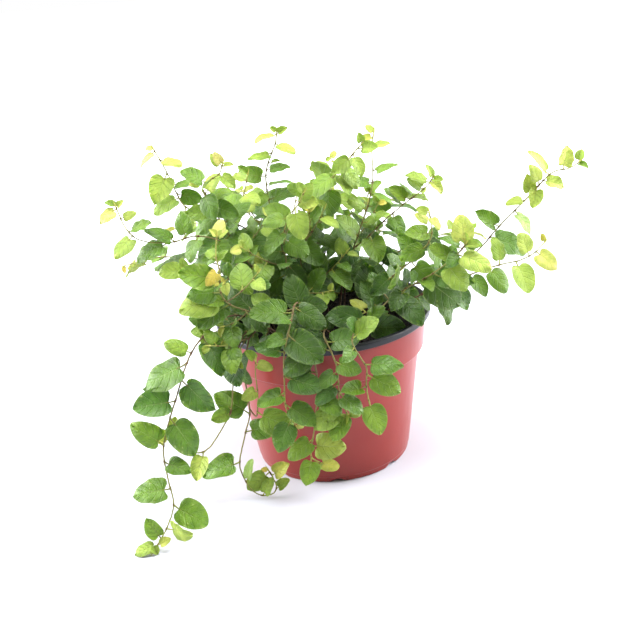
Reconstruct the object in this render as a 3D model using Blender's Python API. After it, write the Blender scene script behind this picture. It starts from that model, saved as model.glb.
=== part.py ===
"""Creeping fig in a 14 cm nursery pot.

Metres, +Z up. The origin is the middle of the pot's foot, on the surface that it stands on,
and -Y is the front. Sizes below are in millimetres and are turned to metres when a mesh is made.
"""
import math
import random
from dataclasses import dataclass, replace

import bmesh
import bpy
import numpy as np
from mathutils import Matrix, Vector, noise
from mathutils.bvhtree import BVHTree

MM = 0.001
SEED = 1429

# Pot: one formed sheet with a rolled lip, a collar, a tapered wall and a channelled foot
RIM_RADIUS = 70.0
POT_HEIGHT = 101.0
LIP_HEIGHT = 5.1
LIP_WIDTH = 3.4
COLLAR_TOP_RADIUS = 66.6
COLLAR_FOOT_RADIUS = 64.6
STEP_HEIGHT = 73.6
WALL_TOP_RADIUS = 61.4
FOOT_RADIUS = 51.7
FOOT_BEND = 4.0
FOOT_CORNER = 1.0
SHEET = 1.0
POT_SIDES = 32
PAD_RADIUS = 18.0
CHANNEL_START = 22.0
CHANNEL_END = 48.5
CHANNEL_RISE = 1.8
CHANNELS = 8

# Potting soil: fills the pot to below the rim
SOIL_TOP = 88.0
SOIL_LUMP = 1.6
SOIL_SIDES = 16
GAP = 0.3
HOLE_DEPTH = 11.0
HOLE_SIDES = 4
HOLE_PLAY = 0.9

# Stems
STEM_RADIUS = 1.15
STEM_TIP_RADIUS = 0.75
BRANCH_RADIUS = 0.9
STEM_SIDES = 3
RING_SPACING = 9.0
CHORD_ERROR = 0.65
TIP_STUB = 1.2
SAMPLE_SPACING = 4.0
STEM_CLEARANCE = 2.4
SETTLE_ROUNDS = 60
BARE_STEM = 14.0
BARE_BRANCH = 7.0

# Leaves
BLADE_THICKNESS = 0.7
BLADE_SHARE = 0.88
BLADE_WIDTH = 0.84
PETIOLE_WIDTH = 1.0
PETIOLE_TAPER = 0.6
LEAF_GAP = 0.45
LARGE_LEAF = 24.6
SMALL_LEAF = 14.2
LARGEST_LEAF = 24.5
TWIG_LEAF = 17.5
LEAF_PITCH = 0.5
TRIES = 30
LOOSEST = 4.5
FLOOR_GAP = 0.4

# The side from which the plant shows its face: in front and a little above
FACE_HEIGHT = math.radians(21.5)
VIEWPOINT = Vector((-2.7, -549.8, 308.2))
RIGHT = Vector((1.0, 0.0, 0.0))
UPWARD = Vector((0.0, math.sin(FACE_HEIGHT), math.cos(FACE_HEIGHT)))
TOWARDS = Vector((0.0, -math.cos(FACE_HEIGHT), math.sin(FACE_HEIGHT)))
SKY = Vector((0.0, 0.0, 1.0))

# Colours as linear values
TERRACOTTA = (0.434, 0.084, 0.073, 1.0)
PEAT = (0.012, 0.009, 0.008, 1.0)
LEAF_GREEN = (0.105, 0.262, 0.036, 1.0)

# Shoots: the route's points after the one in the soil, and the leaves that show on it.
# A leaf is (place along the route, turn in degrees anticlockwise from the right as seen from
# the front, span from the stem to the leaf's tip, age from 0 for new to 1 for old).
# "nearer" is how far the shoot's end comes forward of its route, and a twig is
# (place along the route, turn, reach).
SHOOTS = {
    "shoot_trailing_long": {
        "twigs": [(0.19, 225, 26), (0.235, 265, 22)],
        "route": [(-32, -18, 88), (-46, -32, 110), (-59, -45, 117), (-70, -62, 114), (-78, -72, 107),
                  (-83, -80, 98), (-88, -85, 86), (-92, -88, 77), (-97, -92, 64), (-99, -93, 54),
                  (-98, -96, 38), (-97, -98, 23), (-103, -104, 10), (-110, -111, 1.8)],
        "leaves": [(0.27, 285, 22, 0.85), (0.29, 155, 14, 0.7), (0.35, 292, 25, 1.0),
                   (0.41, 150, 15, 0.45), (0.44, 200, 27, 0.9), (0.49, 309, 23, 0.95),
                   (0.55, 182, 22, 0.8), (0.6, 304, 23, 0.85), (0.68, 142, 20, 0.6),
                   (0.73, 340, 15, 0.75), (0.81, 180, 20, 0.7), (0.86, 326, 21, 0.55),
                   (0.93, 29, 19, 0.3), (0.96, 115, 14, 0.5), (0.98, 30, 8, 0.1),
                   (0.985, 190, 12, 0.3)],
    },
    "shoot_trailing_hook": {
        "twigs": [(0.27, 255, 26)],
        "route": [(-24, -28, 88), (-38, -42, 107), (-49, -53, 107), (-56, -62, 88), (-60, -66, 66),
                  (-67, -70, 55), (-74, -74, 47), (-80, -76, 44), (-87, -78, 47), (-93, -79, 51),
                  (-98, -80, 57)],
        "leaves": [(0.42, 315, 19, 0.8), (0.62, 129, 12, 0.6), (0.635, 195, 11, 0.4),
                   (0.83, 252, 16, 0.3), (0.93, 90, 18, 0.2), (0.99, 135, 9, 0.1)],
    },
    "shoot_trailing_floor": {
        "twigs": [(0.24, 205, 24)],
        "route": [(-20, -34, 88), (-34, -46, 108), (-45, -56, 107), (-50, -61, 94), (-50, -61, 76),
                  (-50, -60, 59), (-55, -60, 43), (-60, -60, 25), (-58, -61, 14), (-54, -62, 6),
                  (-48, -62, 1.8), (-42, -61, 1.8), (-39, -60, 4.5), (-40, -58, 10), (-43, -56, 16)],
        "leaves": [(0.24, 185, 20, 0.8), (0.3, 225, 16, 0.85), (0.37, 250, 17, 0.8),
                   (0.52, 141, 22, 0.65), (0.59, 358, 20, 0.7), (0.71, 191, 23, 0.7),
                   (0.79, 75, 14, 0.4), (0.87, 62, 12, 0.3), (0.93, 35, 9, 0.3), (0.98, 35, 13, 0.15),
                   (1.0, 235, 18, 0.3)],
        "branches": [{"at": 0.50, "route": [(-46, -65, 59), (-44, -68, 67), (-43, -68, 77), (-43, -68, 88),
                                            (-42, -68, 97)],
                      "leaves": [(0.26, 335, 22, 0.4), (0.60, 210, 10, 0.1), (1.0, 340, 10, 0.1)]}],
    },
    "shoot_hanging_left": {
        "twigs": [(0.30, 200, 24)],
        "route": [(-8, -24, 88), (-12, -42, 116), (-16, -54, 125), (-19, -64, 119), (-22, -71, 111),
                  (-25, -75, 101), (-26, -77, 87), (-27, -77, 74), (-26, -77, 66), (-22, -77, 57)],
        "leaves": [(0.41, 325, 20, 0.85), (0.44, 170, 22, 0.7), (0.48, 220, 14, 0.8), (0.55, 315, 23, 0.95),
                   (0.63, 165, 16, 0.7), (0.74, 340, 21, 0.8), (0.82, 195, 16, 0.6), (0.88, 330, 20, 0.7),
                   (0.96, 240, 19, 0.8)],
    },
    "shoot_hanging_centre": {
        "route": [(-9, -37, 88), (-14, -54, 108), (-12, -67, 107), (-8, -75, 97), (-7, -78, 82),
                  (-9, -78, 69), (-12, -77, 51), (-15, -74, 34), (-9, -72, 27)],
        "leaves": [(0.38, 215, 18, 0.9), (0.48, 205, 16, 0.8), (0.59, 320, 16, 0.6), (0.71, 150, 13, 0.6),
                   (0.82, 215, 17, 0.5), (0.86, 355, 19, 0.25), (0.93, 255, 16, 0.55), (0.99, 345, 11, 0.1)],
    },
    "shoot_hanging_middle": {
        "route": [(6, -30, 88), (1, -50, 105), (-1, -64, 107), (3, -73, 99), (5, -77, 91),
                  (5, -78, 80), (5, -78, 72), (9, -78, 62)],
        "leaves": [(0.56, 165, 18, 0.9), (0.63, 335, 15, 0.5), (0.69, 205, 14, 0.8), (0.77, 225, 17, 0.85),
                   (0.83, 305, 18, 0.7), (0.87, 235, 15, 0.4), (0.92, 245, 21, 0.35), (0.99, 235, 17, 0.5)],
    },
    "shoot_hanging_right": {
        "route": [(22, -30, 88), (25, -48, 109), (24, -60, 113), (17, -68, 110), (15, -74, 105),
                  (19, -77, 97), (22, -78, 90), (21, -78, 80), (22, -77, 69), (24, -76, 60)],
        "leaves": [(0.40, 150, 16, 0.9), (0.53, 35, 17, 0.35), (0.69, 0, 20, 0.6), (0.75, 325, 20, 0.55),
                   (0.82, 205, 17, 0.6), (0.91, 290, 19, 0.5)],
    },
    "shoot_left_front": {
        "nearer": -14, "twigs": [(0.42, 225, 20), (0.6, 20, 22)],
        "route": [(-27, -21, 88), (-40, -40, 114), (-54, -54, 128), (-58, -60, 138), (-57, -60, 150),
                  (-58, -60, 160), (-56, -60, 172)],
        "leaves": [(0.45, 290, 19, 0.9), (0.57, 220, 21, 0.8), (0.62, 180, 24, 0.4), (0.68, 200, 20, 0.7),
                   (0.74, 160, 22, 0.6), (0.81, 210, 13, 0.1), (0.87, 85, 15, 0.4), (0.98, 65, 12, 0.1)],
    },
    "shoot_left_level": {
        "nearer": 18, "twigs": [(0.5, 270, 24)],
        "route": [(-35, 2, 88), (-44, 6, 116), (-54, 0, 128), (-64, -12, 131), (-74, -20, 137),
                  (-82, -25, 143)],
        "leaves": [(0.64, 250, 19, 0.8), (0.73, 300, 18, 0.7), (0.83, 166, 15, 0.6), (0.9, 60, 13, 0.6),
                   (0.99, 181, 15, 0.3)],
    },
    "shoot_left_long": {
        "nearer": -16, "twigs": [(0.42, 250, 28)],
        "route": [(-23, -9, 88), (-34, -14, 125), (-53, -20, 153), (-71, -25, 163), (-87, -30, 162),
                  (-103, -35, 166), (-111, -35, 174), (-115, -35, 188)],
        "leaves": [(0.48, 210, 18, 0.8), (0.54, 290, 16, 0.7), (0.61, 240, 15, 0.6),
                   (0.66, 99, 15, 0.75), (0.7, 153, 18, 0.85), (0.73, 200, 19, 0.7),
                   (0.87, 225, 16, 0.35), (0.89, 20, 14, 0.5), (0.95, 20, 9, 0.2),
                   (0.99, 212, 12, 0.08)],
    },
    "shoot_left_high": {
        "nearer": -24, "twigs": [(0.52, 60, 24)],
        "route": [(-18, 6, 88), (-28, 10, 122), (-42, 10, 153), (-63, 5, 165), (-79, 0, 175),
                  (-84, 0, 185), (-88, 0, 198), (-94, 0, 213)],
        "leaves": [(0.5, 235, 17, 0.7), (0.57, 300, 16, 0.8), (0.64, 250, 20, 0.6), (0.7, 331, 17, 0.7),
                   (0.735, 268, 15, 0.35), (0.78, 205, 17, 0.4), (0.8, 331, 16, 0.8),
                   (0.84, 10, 13, 0.7), (0.89, 247, 20, 0.35), (0.95, 346, 14, 0.2),
                   (0.99, 218, 12, 0.1)],
    },
    "shoot_left_upright": {
        "nearer": 14, "twigs": [(0.46, 30, 24), (0.6, 120, 22)],
        "route": [(-31, -8, 88), (-41, -4, 120), (-52, -5, 151), (-62, -5, 174), (-67, -5, 187),
                  (-62, -5, 192), (-56, -5, 195), (-53, -5, 201)],
        "leaves": [(0.50, 250, 17, 0.9), (0.56, 205, 22, 0.8), (0.62, 40, 20, 0.75), (0.68, 220, 15, 0.8),
                   (0.73, 335, 16, 0.8), (0.77, 15, 15, 0.5), (0.81, 280, 18, 0.9), (0.86, 150, 15, 0.6),
                   (0.90, 215, 11, 0.5), (0.94, 320, 12, 0.45), (0.99, 130, 9, 0.3)],
    },
    "shoot_centre_left": {
        "nearer": 18, "twigs": [(0.34, 330, 28), (0.48, 170, 26), (0.66, 60, 22)],
        "route": [(-16, -14, 88), (-19, -18, 120), (-20, -20, 151), (-17, -20, 167), (-10, -20, 175),
                  (-5, -20, 183)],
        "leaves": [(0.5, 300, 17, 0.9), (0.58, 190, 17, 0.8), (0.66, 320, 16, 0.8),
                   (0.71, 225, 17, 0.8), (0.79, 192, 14, 0.5), (0.87, 278, 17, 0.4),
                   (0.92, 60, 13, 0.35), (0.99, 150, 10, 0.5)],
    },
    "shoot_centre": {
        "nearer": 12, "twigs": [(0.34, 20, 30), (0.5, 190, 26), (0.68, 40, 22)],
        "route": [(-6, -4, 88), (-10, -2, 115), (-11, 0, 141), (-5, 0, 151), (-3, 0, 166)],
        "leaves": [(0.50, 300, 18, 0.8), (0.60, 200, 18, 0.9), (0.70, 315, 17, 0.8), (0.80, 155, 14, 0.7),
                   (0.90, 20, 13, 0.6), (0.99, 110, 11, 0.5)],
    },
    "shoot_top": {
        "nearer": -18, "twigs": [(0.45, 150, 24)],
        "route": [(-14, 22, 88), (-20, 20, 118), (-24, 20, 143), (-28, 22, 166), (-29, 22, 184),
                  (-26, 22, 195), (-21, 22, 205), (-19, 22, 213)],
        "leaves": [(0.5, 340, 17, 0.8), (0.58, 210, 15, 0.85), (0.65, 15, 19, 0.7), (0.7, 276, 13, 0.6),
                   (0.73, 8, 18, 0.6), (0.77, 165, 17, 0.6), (0.8, 12, 14, 0.6), (0.84, 310, 9, 0.4),
                   (0.89, 186, 15, 0.4), (0.94, 334, 14, 0.2), (1.0, 190, 14, 0.12)],
    },
    "shoot_centre_tall": {
        "nearer": 12,
        "route": [(-4, 8, 88), (-3, 10, 117), (0, 10, 137), (3, 10, 158), (9, 10, 169), (13, 10, 182),
                  (18, 10, 188), (27, 10, 197), (33, 10, 203)],
        "leaves": [(0.47, 330, 16, 0.7), (0.55, 235, 14, 0.6), (0.64, 325, 12, 0.7),
                   (0.7, 238, 18, 0.6), (0.74, 264, 20, 0.7), (0.8, 203, 23, 0.55),
                   (0.82, 290, 16, 0.35), (0.86, 286, 20, 0.4), (0.92, 218, 15, 0.35),
                   (0.935, 290, 14, 0.35), (0.97, 40, 14, 0.4)],
        "branches": [{"at": 0.58, "route": [(4, 13, 169), (4, 14, 179)],
                      "leaves": [(0.80, 250, 16, 0.4), (0.97, 50, 11, 0.4)]}],
    },
    "shoot_right_tall": {
        "nearer": -20, "twigs": [(0.4, 40, 24)],
        "route": [(14, 16, 88), (17, 18, 112), (22, 20, 133), (33, 22, 154), (39, 22, 174),
                  (40, 22, 190), (40, 22, 198), (42, 22, 207)],
        "leaves": [(0.45, 200, 16, 0.8), (0.53, 295, 15, 0.7), (0.61, 354, 14, 0.7),
                   (0.68, 336, 14, 0.7), (0.74, 178, 15, 0.7), (0.8, 18, 15, 0.6), (0.93, 7, 11, 0.3),
                   (0.98, 190, 8, 0.1)],
    },
    "shoot_centre_back": {
        "nearer": -12,
        "route": [(2, 26, 88), (3, 28, 115), (8, 30, 138), (20, 30, 151), (28, 30, 155), (33, 30, 159),
                  (37, 30, 167)],
        "leaves": [(0.56, 210, 16, 0.8), (0.67, 285, 16, 0.7), (0.74, 182, 15, 0.85),
                   (0.79, 46, 10, 0.6), (0.84, 127, 16, 0.3), (0.91, 18, 15, 0.6), (0.99, 40, 11, 0.4)],
    },
    "shoot_right_slant": {
        "nearer": 14, "twigs": [(0.42, 60, 24)],
        "route": [(10, 2, 88), (14, 2, 115), (21, 0, 136), (33, 0, 146), (43, 0, 155), (55, 0, 164),
                  (70, 0, 174), (75, 0, 180)],
        "leaves": [(0.46, 230, 16, 0.9), (0.55, 285, 17, 0.4), (0.61, 145, 11, 0.5),
                   (0.66, 335, 14, 0.7), (0.72, 290, 14, 0.7), (0.79, 127, 14, 0.6),
                   (0.84, 172, 15, 0.5), (0.86, 130, 11, 0.6), (0.92, 140, 11, 0.5),
                   (0.97, 152, 14, 0.3), (0.99, 300, 10, 0.12)],
    },
    "shoot_right_upright": {
        "nearer": 10, "twigs": [(0.34, 300, 26)],
        "route": [(24, -6, 88), (34, -18, 112), (46, -28, 129), (58, -34, 140), (65, -38, 149),
                  (68, -38, 156), (67, -38, 168)],
        "leaves": [(0.48, 220, 16, 0.8), (0.59, 245, 19, 0.35), (0.64, 290, 19, 0.6),
                   (0.69, 120, 16, 0.7), (0.79, 198, 16, 0.6), (0.82, 290, 17, 0.7),
                   (0.88, 178, 15, 0.5), (0.95, 150, 10, 0.15), (0.98, 300, 9, 0.2)],
    },
    "shoot_right_front": {
        "nearer": 0, "twigs": [(0.36, 220, 26)],
        "route": [(26, -20, 88), (37, -30, 109), (48, -38, 121), (62, -46, 131), (72, -51, 139),
                  (82, -51, 147), (86, -51, 152)],
        "leaves": [(0.5, 250, 17, 0.9), (0.65, 320, 24, 0.9), (0.72, 340, 24, 0.75),
                   (0.83, 301, 18, 0.45), (0.88, 145, 14, 0.5), (0.91, 328, 20, 0.35),
                   (0.94, 215, 13, 0.8), (0.96, 143, 14, 0.7), (0.965, 40, 11, 0.6),
                   (0.99, 95, 16, 0.12)],
    },
    "shoot_right_level": {
        "nearer": -14,
        "route": [(34, -14, 88), (43, -24, 106), (55, -31, 113), (73, -35, 121), (90, -36, 127),
                  (108, -37, 132), (120, -38, 134), (129, -38, 138), (135, -38, 144)],
        "leaves": [(0.5, 320, 16, 0.8), (0.6, 310, 15, 0.7), (0.69, 309, 17, 0.5), (0.75, 93, 16, 0.4),
                   (0.83, 286, 19, 0.35), (0.9, 112, 14, 0.2), (0.94, 314, 15, 0.1)],
    },
    "shoot_right_long": {
        "nearer": 18,
        "route": [(31, 2, 88), (40, -3, 106), (52, -9, 113), (70, -10, 117), (89, -10, 125),
                  (102, -10, 135), (114, -10, 148), (130, -10, 163), (144, -10, 177), (150, -10, 180),
                  (158, -10, 181), (163, -10, 184)],
        "leaves": [(0.4, 70, 15, 0.8), (0.49, 65, 17, 0.6), (0.59, 339, 22, 0.75),
                   (0.64, 140, 16, 0.75), (0.72, 307, 16, 0.75), (0.77, 180, 11, 0.6),
                   (0.79, 90, 12, 0.5), (0.83, 252, 13, 0.4), (0.84, 105, 12, 0.4),
                   (0.86, 345, 12, 0.5), (0.89, 125, 18, 0.35), (0.94, 72, 13, 0.2)],
    },
    "shoot_back_hanging_right": {
        "route": [(12, 36, 88), (18, 54, 110), (22, 70, 109), (25, 80, 97), (22, 82, 80), (26, 82, 62),
                  (20, 83, 44)],
    },
    "shoot_back_hanging_left": {
        "route": [(-26, 30, 88), (-40, 46, 112), (-48, 58, 110), (-52, 68, 96), (-54, 70, 78),
                  (-48, 74, 60)],
    },
}

# Shoots that arch away from the middle by one formula: where they leave the soil, the bearing
# in degrees from +X, how far they reach, how high they rise, where along them the top is, and
# how far they sway aside
ARCHING = {
    "shoot_back_right_low": ((30, 20), 28, 92, 42, 0.75, 6),
    "shoot_back_right": ((22, 28), 52, 96, 60, 0.80, -6),
    "shoot_back_middle": ((-2, 38), 84, 98, 66, 0.78, 7),
    "shoot_back_left": ((-16, 34), 112, 100, 70, 0.80, -7),
    "shoot_back_left_low": ((-30, 20), 140, 98, 58, 0.75, 6),
    "shoot_side_left": ((-38, 10), 165, 96, 50, 0.72, -5),
    "shoot_back_tall": ((4, 18), 78, 52, 96, 1.0, 5),
    "shoot_left_tall": ((-24, 12), 128, 66, 92, 1.0, -5),
}
ARCH_POINTS = 6


def clear_scene():
    """Removes whatever the scene holds."""
    for thing in list(bpy.data.objects):
        bpy.data.objects.remove(thing, do_unlink=True)


def make_material(name, colour, roughness):
    """A plain finish of one colour."""
    material = bpy.data.materials.new(name)
    material.use_nodes = True
    shader = material.node_tree.nodes["Principled BSDF"]
    shader.inputs["Base Color"].default_value = colour
    shader.inputs["Roughness"].default_value = roughness
    material.diffuse_color = colour
    return material


def add_object(name, mesh, material, place=(0.0, 0.0, 0.0)):
    """Puts a mesh in the scene; its place is in millimetres."""
    thing = bpy.data.objects.new(name, mesh)
    thing.location = Vector(place) * MM
    mesh.materials.clear()
    mesh.materials.append(material)
    bpy.context.scene.collection.objects.link(thing)
    return thing


def mesh_from(name, points, faces, origin=Vector()):
    """A mesh in metres from points in millimetres, measured from the origin given."""
    mesh = bpy.data.meshes.new(name)
    mesh.from_pydata([(Vector(point) - origin) * MM for point in points], [], faces)
    mesh.update()
    return mesh


def tree_of(points, faces):
    """A search tree for overlap tests, in millimetres."""
    return BVHTree.FromPolygons([tuple(point) for point in points], faces)


# Pot and soil


def in_channel(angle):
    """True where one of the foot's drainage channels runs."""
    pitch = math.tau / CHANNELS
    return abs((angle + pitch / 2) % pitch - pitch / 2) < math.pi / POT_SIDES


def pot_profile():
    """The sheet's section, from the middle of the underside round the lip to the inside."""
    lip_foot = POT_HEIGHT - LIP_HEIGHT
    outer = [(0, 0), (PAD_RADIUS, 0), (CHANNEL_START, 0), (CHANNEL_END, 0), (FOOT_RADIUS - 0.8, FOOT_CORNER),
             (FOOT_RADIUS, FOOT_BEND), (WALL_TOP_RADIUS, STEP_HEIGHT - 0.4),
             (COLLAR_FOOT_RADIUS, STEP_HEIGHT + 0.6), (COLLAR_TOP_RADIUS, lip_foot),
             (RIM_RADIUS, lip_foot), (RIM_RADIUS, POT_HEIGHT - 1.2), (RIM_RADIUS - 1.0, POT_HEIGHT)]
    inner = [(RIM_RADIUS - LIP_WIDTH + 0.6, POT_HEIGHT), (COLLAR_TOP_RADIUS - SHEET, lip_foot + 1.0),
             (COLLAR_FOOT_RADIUS - SHEET, STEP_HEIGHT + 1.4), (WALL_TOP_RADIUS - SHEET, STEP_HEIGHT - 0.8),
             (FOOT_RADIUS - SHEET, FOOT_BEND + SHEET), (CHANNEL_END, CHANNEL_RISE + SHEET),
             (0, CHANNEL_RISE + SHEET)]
    return outer + inner


def spin_profile(profile, sides, name):
    """A closed turned mesh from a section that starts and ends on the axis."""
    form = bmesh.new()
    verts = [form.verts.new((radius * MM, 0.0, height * MM)) for radius, height in profile]
    edges = [form.edges.new(pair) for pair in zip(verts, verts[1:])]
    bmesh.ops.spin(form, geom=verts + edges, axis=(0, 0, 1), cent=(0, 0, 0), steps=sides, angle=math.tau)
    bmesh.ops.remove_doubles(form, verts=form.verts, dist=0.00001)
    bmesh.ops.recalc_face_normals(form, faces=form.faces)
    mesh = bpy.data.meshes.new(name)
    form.to_mesh(mesh)
    form.free()
    return mesh


def make_pot(material):
    """The pot, with its foot's channels raised over the surface it stands on."""
    mesh = spin_profile(pot_profile(), POT_SIDES, "pot")
    for vert in mesh.vertices:
        radius = math.hypot(vert.co.x, vert.co.y) / MM
        angle = math.atan2(vert.co.y, vert.co.x)
        low = vert.co.z < (FOOT_CORNER + 0.1) * MM
        if low and CHANNEL_START - 0.5 < radius and in_channel(angle):
            vert.co.z += CHANNEL_RISE * MM
    mesh.shade_smooth()
    mesh.set_sharp_from_angle(angle=math.radians(35))
    return add_object("pot", mesh, material)


def soil_height(x, y):
    """Height of the soil's uneven top."""
    return SOIL_TOP + SOIL_LUMP * noise.noise(Vector((x, y, SEED)) / 16.0)


def make_soil(material, roots):
    """The potting soil, with a plain hole for each stem."""
    bottom = SHEET + CHANNEL_RISE + GAP
    wall_lean = (WALL_TOP_RADIUS - FOOT_RADIUS) / (STEP_HEIGHT - FOOT_BEND)
    foot_radius = FOOT_RADIUS - SHEET + wall_lean * (bottom - FOOT_BEND) - 2 * GAP - 0.6
    step_radius = WALL_TOP_RADIUS - SHEET - 2 * GAP
    top_radius = COLLAR_FOOT_RADIUS - SHEET - GAP
    profile = [(0, bottom), (foot_radius - 1.5, bottom), (foot_radius, bottom + 2.5),
               (step_radius, STEP_HEIGHT - 0.2), (top_radius - 0.4, STEP_HEIGHT + 2.6),
               (top_radius, SOIL_TOP), (44, SOIL_TOP), (24, SOIL_TOP), (0, SOIL_TOP)]
    mesh = spin_profile(profile, SOIL_SIDES, "potting_soil")
    for vert in mesh.vertices:
        x, y = vert.co.x / MM, vert.co.y / MM
        if vert.co.z > (SOIL_TOP - 0.1) * MM and math.hypot(x, y) < top_radius - 1:
            vert.co.z = soil_height(x, y) * MM
    soil = add_object("potting_soil", mesh, material)
    cutters = bpy.data.collections.new("stem holes")
    bpy.context.scene.collection.children.link(cutters)
    radius = STEM_RADIUS + HOLE_PLAY
    for x, y in roots:
        form = bmesh.new()
        bmesh.ops.create_cone(form, cap_ends=True, segments=HOLE_SIDES, radius1=radius * MM,
                              radius2=radius * MM, depth=2 * HOLE_DEPTH * MM)
        hole = bpy.data.meshes.new("hole")
        form.to_mesh(hole)
        form.free()
        cutter = bpy.data.objects.new("hole", hole)
        cutter.location = Vector((x, y, SOIL_TOP)) * MM
        cutters.objects.link(cutter)
    apply_boolean(soil, cutters, "DIFFERENCE")
    return soil


def apply_boolean(thing, collection, operation):
    """Joins or cuts with all of a collection at once, keeps the result and drops the tools."""
    step = thing.modifiers.new("Join", "BOOLEAN")
    step.operation = operation
    step.operand_type = "COLLECTION"
    step.collection = collection
    step.solver = "EXACT"
    bpy.context.view_layer.update()
    graph = bpy.context.evaluated_depsgraph_get()
    result = bpy.data.meshes.new_from_object(thing.evaluated_get(graph))
    thing.modifiers.clear()
    thing.data = result
    for tool in list(collection.objects):
        bpy.data.objects.remove(tool, do_unlink=True)
    bpy.data.collections.remove(collection)


# Stems


class Route:
    """A smooth line through points, read by the share of its length."""

    def __init__(self, points):
        ends = [2 * points[0] - points[1]] + points + [2 * points[-1] - points[-2]]
        self.samples = []
        for before, start, end, after in zip(ends, ends[1:], ends[2:], ends[3:]):
            steps = max(2, round((end - start).length))
            self.samples += [smooth_point(before, start, end, after, step / steps)
                             for step in range(steps)]
        self.samples.append(points[-1].copy())
        self.marks = [0.0]
        for start, end in zip(self.samples, self.samples[1:]):
            self.marks.append(self.marks[-1] + (end - start).length)
        self.length = self.marks[-1]

    def at(self, share):
        """The point at a share of the length."""
        place = share * self.length
        return Vector([float(np.interp(place, self.marks, [point[axis] for point in self.samples]))
                       for axis in range(3)])

    def along(self, share):
        """The direction at a share of the length."""
        step = 2.0 / self.length
        return (self.at(min(share + step, 1.0)) - self.at(max(share - step, 0.0))).normalized()


def smooth_point(before, start, end, after, part):
    """A point of the smooth curve between start and end."""
    return 0.5 * ((2 * start) + (end - before) * part
                  + (2 * before - 5 * start + 4 * end - after) * part ** 2
                  + (3 * start - before - 3 * end + after) * part ** 3)


def arching_points(root, bearing, reach, rise, top, sway):
    """The points of a stem that rises from the soil, arches outwards and sways aside."""
    start = Vector((*root, SOIL_TOP))
    heading = Vector((math.cos(math.radians(bearing)), math.sin(math.radians(bearing)), 0))
    aside = Vector((-heading.y, heading.x, 0))
    points = []
    for step in range(ARCH_POINTS + 1):
        share = step / ARCH_POINTS
        climb = rise * (2 * share / top - (share / top) ** 2)
        points.append(start + heading * reach * share ** 1.4 + aside * sway * math.sin(math.tau * share)
                      + SKY * climb)
    return points


def settle_stems(lines, owners):
    """Moves lines of different owners apart where they pass too near each other."""
    owner = np.concatenate([[index] * len(line) for index, line in zip(owners, lines)])
    number = np.concatenate([[index] * len(line) for index, line in enumerate(lines)])
    spots = np.array([point[:] for line in lines for point in line])
    free = (spots[:, 2] > SOIL_TOP + 6).astype(float)
    need = 2 * STEM_RADIUS + STEM_CLEARANCE
    for _ in range(SETTLE_ROUNDS):
        shift = np.zeros_like(spots)
        for index in sorted(set(owners)):
            mine = spots[owner == index]
            others = spots[owner != index]
            apart = mine[:, None, :] - others[None, :, :]
            distance = np.linalg.norm(apart, axis=2)
            short = np.clip(need - distance, 0, None) / np.maximum(distance, 0.01)
            shift[owner == index] = (apart * short[:, :, None]).sum(axis=1) * 0.3
        spots += np.clip(shift, -1.0, 1.0) * free[:, None]
    return [[Vector(spot) for spot in spots[number == index]] for index in range(len(lines))]


def resample(route):
    """Points along a route at an even spacing."""
    count = max(2, round(route.length / SAMPLE_SPACING))
    return [route.at(step / count) for step in range(count + 1)]


def ring_shares(route, wanted):
    """Where a stem's rings stand: off its leaf stalks, and only where the stem bends."""
    near = 3.0 / route.length
    wanted = [0.0, *sorted(wanted), 1.0]
    places = [0.0]
    for low, high in zip(wanted, wanted[1:]):
        if high - low > near:
            count = max(1, round((high - low) * route.length / RING_SPACING))
            places += [low + (high - low) * (step + 0.5) / count for step in range(count)]
    places.append(1.0)
    rings = [0.0]
    last = 0
    while last < len(places) - 1:
        ahead = last + 1
        while ahead + 1 < len(places) and chord_error(route, places[last], places[ahead + 1]) < CHORD_ERROR:
            ahead += 1
        rings.append(places[ahead])
        last = ahead
    return rings


def chord_error(route, low, high):
    """How far a straight piece of stem lies from the route that it stands for."""
    start, end = route.at(low), route.at(high)
    line = (end - start).normalized()
    worst = 0.0
    for step in range(1, 6):
        offset = route.at(low + (high - low) * step / 6) - start
        worst = max(worst, (offset - line * offset.dot(line)).length)
    return worst


def chord_point(route, rings, share):
    """The point of the straight-sided stem at a share of its route."""
    for low, high in zip(rings, rings[1:]):
        if share <= high:
            return route.at(low).lerp(route.at(high), (share - low) / (high - low))
    return route.at(1.0)


def tube(centres, radii, sides):
    """A closed tube through the centres, as points and faces."""
    points, faces = [], []
    normal = None
    for index, centre in enumerate(centres):
        ahead = centres[min(index + 1, len(centres) - 1)] - centres[max(index - 1, 0)]
        ahead.normalize()
        if normal is None:
            normal = ahead.orthogonal().normalized()
        normal = (normal - ahead * normal.dot(ahead)).normalized()
        across = ahead.cross(normal)
        for side in range(sides):
            angle = math.tau * side / sides
            offset = normal * math.cos(angle) + across * math.sin(angle)
            points.append(centre + offset * radii[index])
    for ring in range(len(centres) - 1):
        for side in range(sides):
            ahead_side = (side + 1) % sides
            faces.append((ring * sides + side, ring * sides + ahead_side,
                          (ring + 1) * sides + ahead_side, (ring + 1) * sides + side))
    last = (len(centres) - 1) * sides
    faces.append(tuple(reversed(range(sides))))
    faces.append(tuple(last + side for side in range(sides)))
    return points, faces


# Leaves


def outline_point(phase, length, width):
    """A point of the heart-shaped margin: phase 0 is the notch at the stalk, pi the tip."""
    lobe = 0.26 * math.sin(phase) * (1 - phase / math.pi) ** 2
    along = (0.5 * (1 - math.cos(phase)) - lobe) * length
    taper = 0.72 + 0.5 * phase / math.pi
    across = 0.5 * width * math.sin(phase) ** taper * (1 + 0.22 * math.cos(phase))
    return across, along


def blade_phases(length):
    """How many points a blade's margin gets on each side."""
    if length >= LARGE_LEAF * BLADE_SHARE:
        return (0.2 * math.pi, 0.44 * math.pi, 0.72 * math.pi)
    if length >= SMALL_LEAF * BLADE_SHARE:
        return (0.27 * math.pi, 0.62 * math.pi)
    return (0.42 * math.pi,)


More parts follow.
